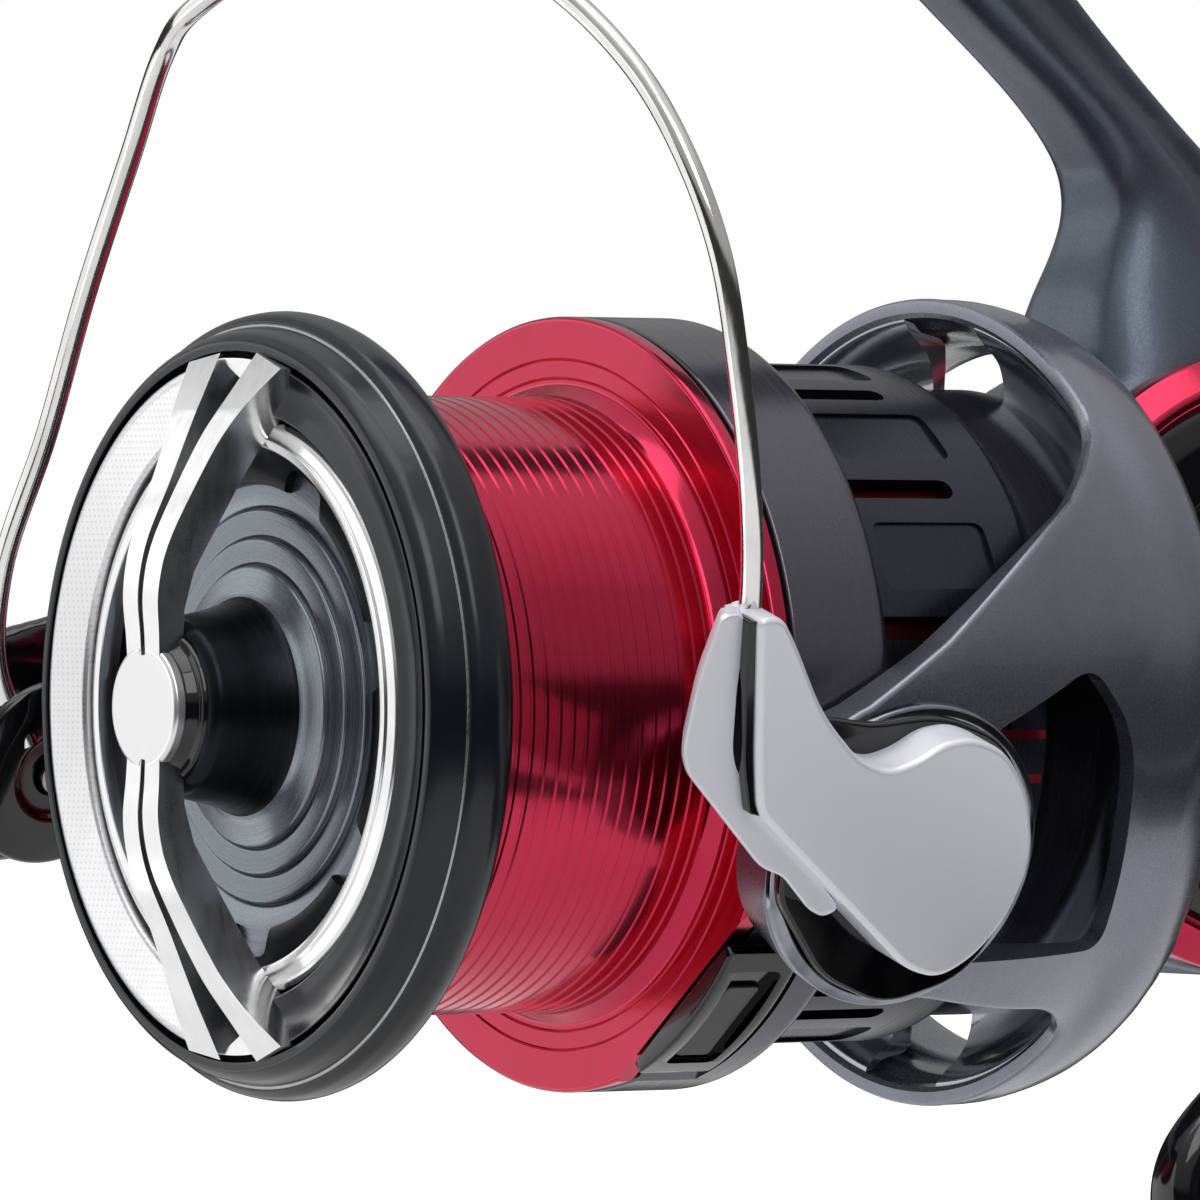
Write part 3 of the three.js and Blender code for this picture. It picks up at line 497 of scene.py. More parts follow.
def metal_paint(name, color, flake, roughness, coat, grain_mm=0.006, metallic=0.75):
    """Painted metal: pigment with fine metal flake under a clear coat."""
    f = Finish(name, color, roughness, metallic=metallic, coat=coat, coat_roughness=0.12)
    where = f.place()
    f.tint(f.ramp(f.cells(where, 7.0), 1, 0, 0.05, 0.45), flake, 0.55)
    f.tint(f.ramp(f.noise(where, 0.15, 3), 0, 1), [c * 0.7 for c in color], 0.35)
    f.vary_roughness(f.noise(where, 5, 3), 0.05)
    f.bump(f.noise(where, 6, 2), grain_mm, 0.5)
    return f.material


def chrome(name="chrome", roughness=0.07, color=(0.86, 0.86, 0.87)):
    """Bright plated trim with hairline wear."""
    f = Finish(name, color, roughness, metallic=1.0)
    where = f.place(scale=(1, 1, 0.2))
    f.vary_roughness(f.noise(where, 1.8, 4), 0.03)
    f.bump(f.noise(where, 3.5, 3), 0.002, 0.4)
    f.tint(f.ramp(f.noise(f.place(), 0.3, 2), 0, 1), (0.70, 0.71, 0.74), 0.3)
    return f.material


def knurled_silver():
    """The knob's silver ring: plated, with a fine grid of dots pressed into its face."""
    f = Finish("knurled_silver", (0.80, 0.80, 0.81), 0.32, metallic=1.0)
    where = f.place(SHAFT_AT, scale=(1, 0, 1))
    dots = f.cells(where, 2.6, 0.0)
    f.bump(f.ramp(dots, 0, 1, 0.1, 0.35), 0.012, 0.3)
    f.tint(f.ramp(dots, 1, 0, 0.12, 0.3), (0.52, 0.53, 0.55), 0.5)
    f.vary_roughness(f.noise(where, 0.4, 3), 0.04)
    return f.material


def satin_silver(name="satin_silver", color=(0.92, 0.935, 1.0), roughness=0.42, metallic=0.3):
    """Bead-blasted, clear anodised aluminium."""
    f = Finish(name, color, roughness, metallic=metallic, coat=0.15, coat_roughness=0.3, ior=1.9)
    where = f.place()
    f.bump(f.noise(where, 11, 2), 0.003, 0.4)
    f.vary_roughness(f.noise(where, 1.2, 3), 0.02)
    f.tint(f.noise(where, 0.3, 2), [c * 0.95 for c in color], 0.5)
    return f.material


def polished_wire():
    """Polished stainless wire, drawn lines along it too fine to see singly."""
    f = Finish("polished_wire", (0.88, 0.87, 0.85), 0.13, metallic=1.0)
    where = f.place(scale=(6, 6, 0.6))
    f.vary_roughness(f.noise(where, 1.0, 3), 0.04)
    f.bump(f.noise(where, 2.0, 2), 0.003, 0.4)
    f.tint(f.ramp(f.noise(f.place(), 0.2, 2), 0, 1), (0.58, 0.56, 0.54), 0.4)
    return f.material


def turned_metal(name, color, roughness):
    """Bare machined metal."""
    f = Finish(name, color, roughness, metallic=1.0)
    where = f.place(scale=(1, 3, 1))
    f.vary_roughness(f.noise(where, 2, 4), 0.08)
    f.bump(f.noise(where, 5, 2), 0.004, 0.5)
    f.tint(f.ramp(f.noise(f.place(), 0.5, 3), 0, 1), [c * 0.7 for c in color], 0.5)
    return f.material


def carbon_washer():
    """Woven carbon drag washer."""
    f = Finish("carbon_washer", (0.012, 0.012, 0.013), 0.5)
    weave = f.node("TexChecker", {"Vector": f.place(), "Scale": 1.2}).outputs["Fac"]
    f.tint(weave, (0.04, 0.04, 0.043), 0.8)
    f.bump(weave, 0.02, 0.5)
    return f.material


RED = red_anodised()
# The wall behind the skirt's slots: the spool's own red, darkened as painted shade.
LINER_RED_PAINTED_SHADE = satin_charcoal("liner_red", (0.07, 0.003, 0.006), 0.35)
GLOSS = gloss_black()
LIP_BLACK = gloss_black("lip_black", (0.006, 0.009, 0.014), 0.24, 0.12)
SKIRT_FRONT = satin_charcoal("skirt_charcoal", (0.12, 0.115, 0.135), 0.24)
SKIRT_REAR = satin_charcoal("skirt_dark", (0.040, 0.042, 0.055), 0.26)
DISH = satin_charcoal("dish_graphite", (0.22, 0.245, 0.27), 0.27)
HUB = satin_charcoal("hub_dark", (0.010, 0.011, 0.014), 0.32)
DRUM_GREY = satin_charcoal("drum_grey", (0.085, 0.085, 0.105), 0.24)
ROTOR_PAINT = metal_paint("rotor_gunmetal", (0.215, 0.230, 0.275), (0.34, 0.36, 0.42), 0.29, 0.5)
BODY_PAINT = metal_paint("body_blue_grey", (0.095, 0.115, 0.150), (0.20, 0.22, 0.27), 0.40, 0.2, 0.01)
CHROME = chrome()
TRIM = chrome("satin_plated_trim", 0.20, (0.93, 0.93, 0.93))
CAP_SILVER = satin_silver("cap_silver", (0.93, 0.93, 0.94), 0.30, 0.9)
RING_SILVER = knurled_silver()
SILVER = satin_silver()
WIRE = polished_wire()
STEEL = turned_metal("turned_steel", (0.48, 0.48, 0.49), 0.28)
BRASS = turned_metal("cut_brass", (0.55, 0.40, 0.16), 0.3)
CARBON = carbon_washer()
# A lighter, glossier copy of the rotor's gunmetal paint for the hoop's inside and bowl; its lighter colour is
# painted sheen.
ROTOR_INSIDE_PAINTED_SHEEN = metal_paint("rotor_inside_painted_sheen", (0.40, 0.42, 0.46), (0.46, 0.48, 0.53), 0.10, 1.0, 0.002)
POLISHED_DARK = chrome("polished_dark", 0.1, (0.16, 0.17, 0.20))
SOFT_BLACK = gloss_black("knob_black", (0.014, 0.014, 0.016), 0.22)

# Each record slot's looks; the first one dresses the nodes kept from the CAD.
SLOTS = {
    "red_anodised": [RED, LINER_RED_PAINTED_SHADE],
    "black_gloss": [GLOSS, LIP_BLACK, SOFT_BLACK],
    "charcoal": [HUB, SKIRT_FRONT, SKIRT_REAR, DISH],
    "gunmetal": [ROTOR_PAINT, ROTOR_INSIDE_PAINTED_SHEEN, DRUM_GREY, POLISHED_DARK],
    "body_grey": [BODY_PAINT],
    "chrome": [CHROME, TRIM, RING_SILVER, WIRE],
    "satin_silver": [SILVER, CAP_SILVER],
    "steel": [STEEL],
    "brass": [BRASS],
    "carbon": [CARBON],
}

# ---- Spool ---------------------------------------------------------------------------------------

CLIP_TURN = Matrix.Rotation(math.radians(53), 4, "Y")
CLIP_SEAT = 22.9
GROOVE_PITCH = 1.0
SLOT_COUNT = 14


def clip_seat(depth):
    return turned(block(CLIP_SEAT, 30, -1, depth, -11.4, 11.4), CLIP_TURN)


def make_spool():
    engraved = []
    for radius in (21.8, 20.6):
        engraved += [(0, radius + 0.1), (0.12, radius), (0, radius - 0.1)]
    grooves = []
    y = -1.6
    while y > -18.4:
        grooves += [(y + 0.18, 19.4), (y + 0.07, 19.3), (y - 0.07, 19.3), (y - 0.18, 19.4)]
        y -= GROOVE_PITCH
    profile = (
        [(1.2, 18.4), (1.2, 24.5, 0.25), (0, 24.5, 0.35)]
        + engraved
        + [(0, 20.2, 0.6), (-0.9, 19.4, 0.5)]
        + grooves
        + [
            (-19.5, 19.4, 0.2), (-19.5, 15, 0.3), (-12.5, 15, 0.3), (-12.5, 2.2), (-10.4, 2.2), (-10.4, 4.8),
            (-6.2, 4.8), (-6.2, 7), (-11, 7), (-11, 16.2), (-18.3, 16.2), (-18.3, 18.4),
        ]
    )
    spool = cut(lathe(profile, 256, 4), clip_seat(6))
    finish_piece(spool, "spool_fine", "spool", RED, ["spool"], sharp=32)


def make_lip():
    profile = [
        (-18.6, 19.7, 0.2), (-18.6, 23.2, 0.4), (-19.2, 24.2, 0.6), (-20.4, 24.6, 0.8), (-21.7, 24.35, 0.4),
        (-22.15, 23.85, 0.1), (-22.05, 23.62, 0.08), (-22.3, 23.55, 0.2), (-23.6, 23.2, 0.7),
        (-24.25, 22.6, 0.5), (-24.2, 22.0, 0.12), (-20, 22.0, 0.2), (-20, 19.7, 0.2),
    ]
    lip = lathe(profile, 256, 5)
    finish_piece(lip, "spool_lip_fine", "spool", LIP_BLACK, ["spool_lip"])
    # A thin steel ring set into the lip's front corner stands in for its highlight line: a painted highlight.
    line = [(-22.2, 23.4), (-22.2, 23.66, 0.03), (-22.1, 23.76, 0.03), (-21.95, 23.76), (-21.95, 23.4)]
    finish_piece(lathe(line, 256), "spool_lip_painted_highlight", "spool", STEEL)


def slot_cutter(angle, low, high, half_width, reach):
    """A long slot with a round rear end, cut in from the side."""
    outline = [(low, -half_width), (low, half_width)]
    outline += [
        (high - half_width + half_width * math.sin(t), half_width * math.cos(t))
        for t in [math.pi * k / 8 for k in range(9)]
    ]
    cutter = prism(outline, reach[0], reach[1], "X")
    return turned(cutter, Matrix.Rotation(angle, 4, "Y"))


def make_skirt_front():
    front = lathe([
        (1.5, 19), (1.5, 24.5, 0.25), (8.3, 24.5, 0.5), (9.1, 23.7, 0.4), (9.6, 21.6), (9.4, 20.9),
        (8.2, 23.4, 0.4), (7.6, 23.7), (2.5, 23.7), (2.5, 19),
    ], 256)
    front = cut(front, clip_seat(6))
    finish_piece(front, "skirt_front_band", "spool", SKIRT_FRONT, ["spool_skirt"], sharp=32)


def make_skirt_rear():
    """The narrower band, with a slot between each two shallow recesses."""
    rear = lathe([
        (9.3, 21.5), (9.9, 21.75, 0.3), (22.8, 21.7, 0.3), (23.5, 21.2, 0.25), (23.5, 20.9), (9.3, 20.9),
    ], 280)
    pitch = 2 * math.pi / SLOT_COUNT
    for i in range(SLOT_COUNT):
        rear = cut(rear, slot_cutter(pitch * (i + 0.5), 9.9, 18.6, 0.75, (19, 24)))
        recess = prism(panel(11.2, 19.8, -2.3, 2.3, 0.8), 21.38, 24, "X")
        rear = cut(rear, turned(recess, Matrix.Rotation(pitch * i, 4, "Y")))
    finish_piece(rear, "skirt_rear_band", "spool", SKIRT_REAR, sharp=32)


def make_skirt_red():
    """Two red marks on the rear band and the red wall behind its slots, whose darkness is painted shade."""
    for i, angle in enumerate((4.8, 12.2)):
        mark = prism(panel(17, 22.4, -0.3, 0.3, 0.2, 3), 21.0, 21.78, "X")
        turned(mark, Matrix.Rotation(math.radians(angle), 4, "Y"))
        finish_piece(mark, f"skirt_red_mark_{i + 1}", "spool", RED)
    # Dark red liner: its red is the spool's own, its darkness is painted shade inside the skirt.
    liner = lathe([(9.6, 20.45), (9.6, 20.75), (22, 20.75), (22, 20.45)], 160)
    finish_piece(liner, "skirt_liner_red_painted_shade", "spool", LINER_RED_PAINTED_SHADE)


def make_line_clip():
    """A framed clip that fills the flat cut in the flange, with a recessed face and a sprung tongue."""
    base = lathe([(-0.1, 10), (-0.1, 24.75, 0.3), (5.6, 24.75, 0.4), (5.6, 10)], 320)
    seat = turned(
        prism(rounded([(-0.1, -6.4, 0.5), (5.6, -6.4, 0.8), (5.6, 6.4, 0.8), (-0.1, 6.4, 0.5)], 4),
              CLIP_SEAT + 0.3, 30, "X", 0.12), CLIP_TURN)
    clip = common(base, seat)
    clip = cut(clip, turned(prism(panel(1.0, 4.6, -4.9, 4.9, 0.6), 23.9, 30, "X"), CLIP_TURN))
    soften(clip, 0.1, 2, angle=50)
    finish_piece(clip, "line_clip_fine", "spool", GLOSS, ["line_clip"], sharp=40)
    tongue = turned(prism(panel(1.4, 4.0, -4.2, 3.2, 0.5), 23.8, 24.2, "X", 0.15), CLIP_TURN)
    finish_piece(tongue, "line_clip_tongue", "spool", LIP_BLACK)


# ---- Drag knob -----------------------------------------------------------------------------------

NOTCHES = 7


def make_knob_dish():
    steps = []
    for radius, y in ((12.3, -21.8), (10.5, -22.1), (8.8, -22.5)):
        steps += [(y, radius + 0.15, 0.1), (y + 0.25, radius, 0.05), (y - 0.35, radius - 0.12, 0.15)]
    profile = (
        [
            (-27.6, 0), (-27.6, 4.2), (-16.4, 4.2), (-16.4, 6.4), (-20.6, 6.4), (-20.6, 13.6), (-16.4, 13.6),
            (-16.4, 14.6), (-20.6, 14.6), (-20.6, 21.6), (-21.9, 21.6), (-22.3, 18.2), (-22.3, 15.4, 0.5),
            (-22.1, 13.4, 0.5),
        ]
        + steps
        + [(-23.3, 7.0, 0.5), (-24.0, 6.0, 0.4), (-28.4, 5.4, 0.5), (-28.6, 4.9, 0.2), (-28.6, 0)]
    )
    dish = lathe(profile, 224, 4)
    finish_piece(dish, "drag_knob_fine", "drag_knob", DISH, ["drag_knob"], sharp=30)


def make_knob_hub():
    hub = lathe([
        (-22.9, 4.4), (-22.9, 7.4, 0.1), (-23.5, 6.7, 0.8), (-25.2, 6.15, 1.5), (-28.4, 5.5, 0.5),
        (-28.8, 4.9, 0.3), (-28.8, 4.4),
    ], 128)
    finish_piece(hub, "drag_knob_hub", "drag_knob", HUB)


def make_knob_scallops():
    """A low wall round the dish, notched between its waves."""
    section = [(-21.9, 13.7), (-22.75, 13.8, 0.3), (-22.9, 14.6, 0.3), (-22.9, 16.35), (-21.9, 16.35)]
    wall = lathe(section, 224)
    notch = rounded([(-2.6, 12, 1.2), (2.6, 12, 1.2), (1.9, 15.5, 0.8), (-1.9, 15.5, 0.8)], 4)
    for i in range(NOTCHES):
        turn = Matrix.Rotation(2 * math.pi * (i + 0.5) / NOTCHES, 4, "Y")
        wall = cut(wall, turned(prism(notch, -26, -20, "Y"), turn))
    finish_piece(wall, "drag_knob_scallops", "drag_knob", HUB, sharp=32)


def half_ring(profile, side):
    """The part of a turned ring that lies outside the bars, on one side of the knob."""
    return common(lathe(profile, 256, 4), block(*sorted((side * 2.2, side * 30)), -30, -18, -30, 30))


def make_knob_rings():
    """A bright ring, a dotted silver crescent on one side and a black one on the other, which is painted shade on
    the near side.
    """
    ring = lathe([
        (-22.6, 16.2), (-23.8, 16.3, 0.15), (-23.8, 16.9, 0.1), (-23.65, 17.0, 0.1), (-23.4, 17.7, 0.2),
        (-23.0, 18.0, 0.1), (-22.2, 18.0), (-22.2, 16.2),
    ], 256)
    finish_piece(ring, "drag_knob_bright_ring", "drag_knob", TRIM)
    bright = half_ring([
        (-21.9, 18.3), (-23.45, 18.3, 0.1), (-23.65, 18.5, 0.1), (-24.45, 21.0, 0.2), (-24.3, 21.5, 0.2),
        (-21.9, 21.6),
    ], -1)
    finish_piece(bright, "drag_knob_crescent", "drag_knob", RING_SILVER, ["drag_knob_trim"])
    # The near half of the crescent is drawn in black lacquer: painted shade.
    shade = half_ring([
        (-21.9, 18.3), (-23.5, 18.3, 0.1), (-23.85, 18.5, 0.12), (-23.5, 19.4, 1.5), (-23.6, 20.6, 1.5),
        (-24.15, 21.6, 0.2), (-21.9, 21.6),
    ], 1)
    finish_piece(shade, "drag_knob_painted_shade", "drag_knob", LIP_BLACK)


BAR_TOP = [(-30.6, 4.5), (-30.75, 7.0), (-30.2, 9.9), (-28.3, 14), (-26.2, 18.4)]
BAR_UNDER = [
    (-24.4, 21.9), (-22.6, 21.6), (-22.6, 18.5), (-24.6, 15), (-28.2, 8.3), (-28.8, 6.0), (-28.8, 2.5),
]
PLAIN_BAR = [
    (0.22, 2.5), (0.3, 9), (0.42, 14), (0.65, 17), (0.85, 21.9), (4.1, 21.4), (3.7, 19), (3.1, 16.8),
    (2.6, 14), (2.1, 9), (1.85, 2.5),
]
FLARED_BAR = [
    (0.22, 2.5), (0.3, 9), (0.5, 14), (1.1, 17.0), (2.1, 18.9), (3.4, 21.85), (7.0, 20.8), (4.9, 18.9),
    (3.5, 16.8), (2.8, 14), (2.2, 9), (1.85, 2.5),
]


def make_bars():
    """Four arched bars in two narrow Vs, bright in front and dark on their sides."""
    bars = []
    side = [(-30.5, 2.5)] + [tuple(p) for p in smooth_path(BAR_TOP, 5)] + BAR_UNDER
    for end in (1, -1):
        low_side = [(a, b * end) for a, b in side]
        for lean, plan in ((-1, PLAIN_BAR), (1, FLARED_BAR)):
            bent = rounded([(a, b, 1.5 if 13 < b < 19 else 0.0) for a, b in plan], 4)
            upright = prism([(lean * a, end * b) for a, b in bent], -33, -20, "Y")
            bars.append(soften(common(upright, prism(low_side, -9, 9, "X")), 0.1, 2, 40))
        band = [(-22.4, 19.2), (-24.1, 19.3, 0.1), (-24.3, 19.5, 0.1), (-24.3, 21.6, 0.1), (-22.4, 21.6)]
        foot = [(-0.9, end * 21.5), (3.0, end * 19.4), (4.6, end * 22), (-0.9, end * 22)]
        bars.append(common(lathe(band, 256), prism(foot, -30, -18, "Y")))
    bars = joined(bars)
    for look in (TRIM, HUB):
        bars.data.materials.append(look)
    for face in bars.data.polygons:
        face.material_index = 1 if abs(face.normal.x) > 0.8 else 0
    finish_piece(bars, "drag_knob_bars", "drag_knob", [TRIM, HUB], sharp=18)


def make_knob_cap():
    collar = lathe([
        (-28.7, 3.3), (-28.7, 4.75, 0.15), (-29.0, 4.6, 0.1), (-29.1, 4.2, 0.1), (-29.9, 3.9, 0.2),
        (-29.9, 3.3),
    ], 96)
    finish_piece(collar, "drag_knob_collar", "drag_knob", GLOSS)
    cap = lathe([(-29.6, 0), (-30.55, 0), (-30.6, 3.6, 0.15), (-30.4, 3.85, 0.1), (-29.6, 3.85)], 96)
    notch = rounded([(-0.4, 3.2, 0.3), (0.4, 3.2, 0.3), (0.4, 5), (-0.4, 5)], 3)
    for turn in (0, math.pi):
        cap = cut(cap, turned(prism(notch, -31, -29, "Y"), Matrix.Rotation(turn, 4, "Y")))
    finish_piece(cap, "drag_knob_cap_fine", "drag_knob", CAP_SILVER, ["drag_knob_cap"])


# ---- Rotor ---------------------------------------------------------------------------------------

OUTER = [(-4, 29.2), (7, 29.3), (18, 28.4), (24, 27.2), (28, 26.1), (31, 25.9), (34, 24.9), (36, 22.8)]
INNER = [
    (-4, 25.4), (24, 25.4), (28, 24.9), (29.2, 24.5), (29.6, 24.0), (31.4, 23.6), (31.8, 23.1), (35, 22.6),
]
OUTER_FINE = [tuple(p) for p in smooth_path(OUTER, 8)]
HOOP_FRONT = 28.0
HOOP_REAR = 36.0
BOSS = 9.8
ARC_RADIUS = 27.0
SKIN_BEVEL = 0.4
OUTSIDE_ROWS = 14
BEVEL_ROWS = 2
INSIDE_ROWS = 16


def arm_edge():
    """The near arm's edge from the hoop's top round the boss and back to its bottom, as (along, across)."""
    arc = [
        (PIVOT_Y + BOSS * math.cos(t), BOSS * math.sin(t))
        for t in [math.radians(110 + 145 * k / 30) for k in range(31)]
    ]
    corners = (
        [(HOOP_FRONT, 26.05), (HOOP_FRONT, 22.9, 3.0), (24.2, 20.8, 2.5), (8.2, 11.9, 2.0), arc[0]]
        + arc[1:-1]
        + [arc[-1], (12.3, -10.4, 1.2), (24.8, -12.6, 1.5), (HOOP_FRONT, -14.8, 2.2), (HOOP_FRONT, -26.05)]
    )
    return rounded([(0, 60)] + corners + [(0, -60)], 6)[1:-1]


def edge_loop(spacing):
    """The whole front edge as evenly spaced (along, arc length) points, once round the shaft."""
    near = []
    for along, across in arm_edge():
        radius = between(OUTER_FINE, along)
        near.append((along, ARC_RADIUS * math.asin(max(-1, min(1, across / radius)))))
    half = ARC_RADIUS * math.pi
    loop = near + [(along, s - half) for along, s in near]
    loop = [p for i, p in enumerate(loop) if i == 0 or (Vector(p) - Vector(loop[i - 1])).length > WELD]
    loop.append((loop[0][0], loop[0][1] - 2 * half))
    lengths = [0.0]
    for p, q in zip(loop, loop[1:]):
        lengths.append(lengths[-1] + (Vector(q) - Vector(p)).length)
    count = int(lengths[-1] / spacing)
    even = []
    k = 0
    for i in range(count):
        want = lengths[-1] * i / count
        while lengths[k + 1] < want:
            k += 1
        t = (want - lengths[k]) / (lengths[k + 1] - lengths[k])
        even.append(Vector(loop[k]).lerp(Vector(loop[k + 1]), t))
    return even


def skin_column(here, inward):
    """The (along, arc length, radius) points of one strip: back to front outside, and back inside."""
    start = here + inward * SKIN_BEVEL
    column = []
    for k in range(OUTSIDE_ROWS + 1):
        along = HOOP_REAR + (start[0] - HOOP_REAR) * k / OUTSIDE_ROWS
        column.append((along, start[1], between(OUTER_FINE, along)))
    for k in range(1, BEVEL_ROWS + 1):
        a = math.pi / 2 * k / (BEVEL_ROWS + 1)
        point = here + inward * SKIN_BEVEL * (1 - math.sin(a))
        column.append((*point, between(OUTER_FINE, point[0]) - SKIN_BEVEL * (1 - math.cos(a))))
    column.append((*here, between(OUTER_FINE, here[0]) - SKIN_BEVEL))
    column.append((*here, between(INNER, here[0]) + SKIN_BEVEL * 0.6))
    start = here + inward * SKIN_BEVEL * 0.6
    for k in range(INSIDE_ROWS + 1):
        along = start[0] + (35 - start[0]) * k / INSIDE_ROWS
        column.append((along, start[1], between(INNER, along)))
    return column


def rotor_skin():
    """Hoop and arms as one bent shell with a bevelled front edge."""
    edge = edge_loop(0.42)
    count = len(edge)
    wrap = Vector((0, 2 * math.pi * ARC_RADIUS))
    sections = []
    for i, here in enumerate(edge):
        before = edge[i - 1] + (wrap if i == 0 else Vector((0, 0)))
        after = edge[(i + 1) % count] - (wrap if i == count - 1 else Vector((0, 0)))
        run = (after - before).normalized()
        section = []
        for along, arc, radius in skin_column(here, Vector((-run[1], run[0]))):
            turn = arc / ARC_RADIUS
            section.append((radius * math.cos(turn), along, radius * math.sin(turn)))
        sections.append(section)
    shell = skin(sections, closed=True)
    # The inner rows take the lighter copy of the rotor paint, a painted sheen.
    for look in (ROTOR_PAINT, ROTOR_INSIDE_PAINTED_SHEEN):
        shell.data.materials.append(look)
    for index, face in enumerate(shell.data.polygons):
        face.material_index = 1 if index % len(section) > OUTSIDE_ROWS + BEVEL_ROWS else 0
    return shell


def on_arm(part, side):
    """A part drawn for the near arm, kept there or turned round to the far one."""
    return part if side > 0 else turned(part, Matrix.Rotation(math.pi, 4, "Y"))


def arm_window(side):
    outline = rounded([
        (11.6, -7.7, 1.2), (12.6, 0, 4), (11.2, 6.3, 1.2), (14.4, 7.9), (21.8, 11.0, 1.8), (25.7, 6.6, 3.5),
        (26.6, -7.9, 1.5),
    ], 6)
    return on_arm(prism(outline, 20, 40, "X"), side)


def make_rotor_shell():
    shell = rotor_skin()
    for side in (1, -1):
        shell = cut(shell, arm_window(side))
        shell = cut(shell, on_arm(plug(20, 40, 2.3, PIVOT_Y, 0, 48), side))
    shell = cut(shell, plug(27, 40, 5.4, PIVOT_Y, 0, 64))
    finish_piece(shell, "rotor_fine", "rotor", [ROTOR_PAINT, ROTOR_INSIDE_PAINTED_SHEEN], ["rotor"], sharp=32)


def make_rotor_drum():
    drum = lathe([
        (4, 3.4), (4, 19.6, 0.3), (5, 20.2, 0.4), (31.4, 20.2, 0.3), (31.4, 18.6, 0.2), (5.6, 18.6),
        (5.6, 6), (12, 6), (12, 3.4),
    ], 160)
    finish_piece(drum, "rotor_drum", "rotor", DRUM_GREY, sharp=32)


def make_rotor_bowl():
    """The floor of the hoop, in two parts: one behind each arm."""
    webs = []
    for side in (1, -1):
        half = prism([(-2, 26), (26, 26), (26, -26), (10, -26)], 20, 34, "Y")
        bowl = lathe([
            (28.3, 25.2), (28.3, 24.6, 0.2), (28.9, 23.9, 0.8), (30.4, 22.6, 1.2), (30.9, 21.0, 0.6),
            (30.9, 19.2), (31.8, 19.2), (31.8, 22.6, 1), (31.4, 25.0),
        ], 160)
        webs.append(common(bowl, on_arm(half, side)))
    # The bowl takes the lighter copy of the rotor paint, a painted sheen.
    finish_piece(joined(webs), "rotor_bowl", "rotor", ROTOR_INSIDE_PAINTED_SHEEN, sharp=32)


def make_arm_bosses():
    """A polished bead and a black face on the pivot boss of each arm."""
    for side, name in ((1, "near"), (-1, "far")):
        bead = [(29.0, 8.5), (29.55, 8.5, 0.2), (29.75, 9.0, 0.3), (29.6, 9.75, 0.3), (29.0, 9.8)]
        rim = lathe_across(bead, PIVOT_Y, 0, 128)
        finish_piece(on_arm(rim, side), f"arm_boss_rim_{name}", "rotor", POLISHED_DARK)
        face = lathe_across([(28.9, 2.4), (29.5, 2.4, 0.1), (29.6, 8.5, 0.1), (28.9, 8.5)], PIVOT_Y)
        finish_piece(on_arm(face, side), f"arm_boss_face_{name}", "rotor", GLOSS)


# ---- Bail ----------------------------------------------------------------------------------------

WIRE_RADIUS = 0.7
WIRE_POINTS = [
    (31.2, -8.9, 13.4), (31.2, -9.5, 18.5), (31, -10.6, 23.8), (29.6, -12.1, 31.1), (27.6, -13.5, 37.6),
    (24, -14.8, 42.7), (18.5, -16, 46.8), (11, -18.4, 50), (3, -22, 51), (-5, -25.6, 47.4),
    (-12, -27.6, 41.4), (-17.5, -25.8, 37), (-22, -24.1, 29.2), (-25, -23.8, 19.2), (-26.2, -24.2, 9.4),
    (-27.3, -25.1, 0), (-27.0, -24.4, -6.5), (-25.2, -22.2, -11),
]


def make_bail_wire():
    wire = tube(smooth_path(WIRE_POINTS, 12), WIRE_RADIUS, 28)
    finish_piece(wire, "bail_wire_fine", "bail", WIRE, ["bail_wire"], sharp=60)


def make_holder_plate():
    lobe = rounded([
        (-10.2, 16.7, 0.8), (-8.4, 16.8, 1.3), (-7.0, 15.0, 1.5), (-4.1, 10.6, 2.5), (-0.8, 7.7, 2),
        (1.6, 6.9, 1.4), (3.6, 7.6, 1.4), (5.2, 8.7, 1.2), (7.4, 9.05, 1.8), (10, 8.2, 2), (12.3, 5.6, 2.2),
        (13.7, 1.4, 2.6), (12.6, -2.6, 2.4), (10.6, -5.2, 2), (8.2, -6.6, 1.4), (5.6, -5.9, 1.4),
        (-7.6, 4.3, 1), (-8.5, 7.8, 1), (-9.6, 13.5, 1),
    ], 6)
    plate = prism(lobe, 29.9, 33.8, "X", 0.45, 4)
    finish_piece(plate, "bail_holder_plate", "bail", SILVER, ["bail_holder"], sharp=40)


def make_holder_wing():
    """The raised front of the holder, which narrows a little towards its face."""
    wing = rounded([
        (-12.1, 16.6, 0.8), (-10.5, 16.7, 0.5), (-10.2, 12), (-9.7, 8.2, 0.8), (-9.2, 6.9, 0.6),
        (-6.8, 4.2), (0.7, -2.4, 0.6), (-0.4, -2.9, 0.5), (-1.6, -2.4, 0.6), (-4.0, -0.2, 0.5),
        (-5.8, 0.4, 0.8), (-12.6, 6.6, 1.0), (-13.2, 8.0, 1.0), (-13.0, 12.5, 1.0),
    ], 5)
    middle = Vector((-7.5, 7))
    sections = []
    for u, shift, shrink in ((30.0, 1.5, 0.98), (32.2, 0.1, 1.0), (32.5, 0.0, 0.985), (32.6, 0.0, 0.955)):
        ring = []
        for p in wing:
            q = middle + (Vector(p) - middle) * shrink
            ring.append((u, q[0] + shift, q[1]))
        sections.append(ring)
    finish_piece(skin(sections), "bail_holder_wing", "bail", SILVER, sharp=40)


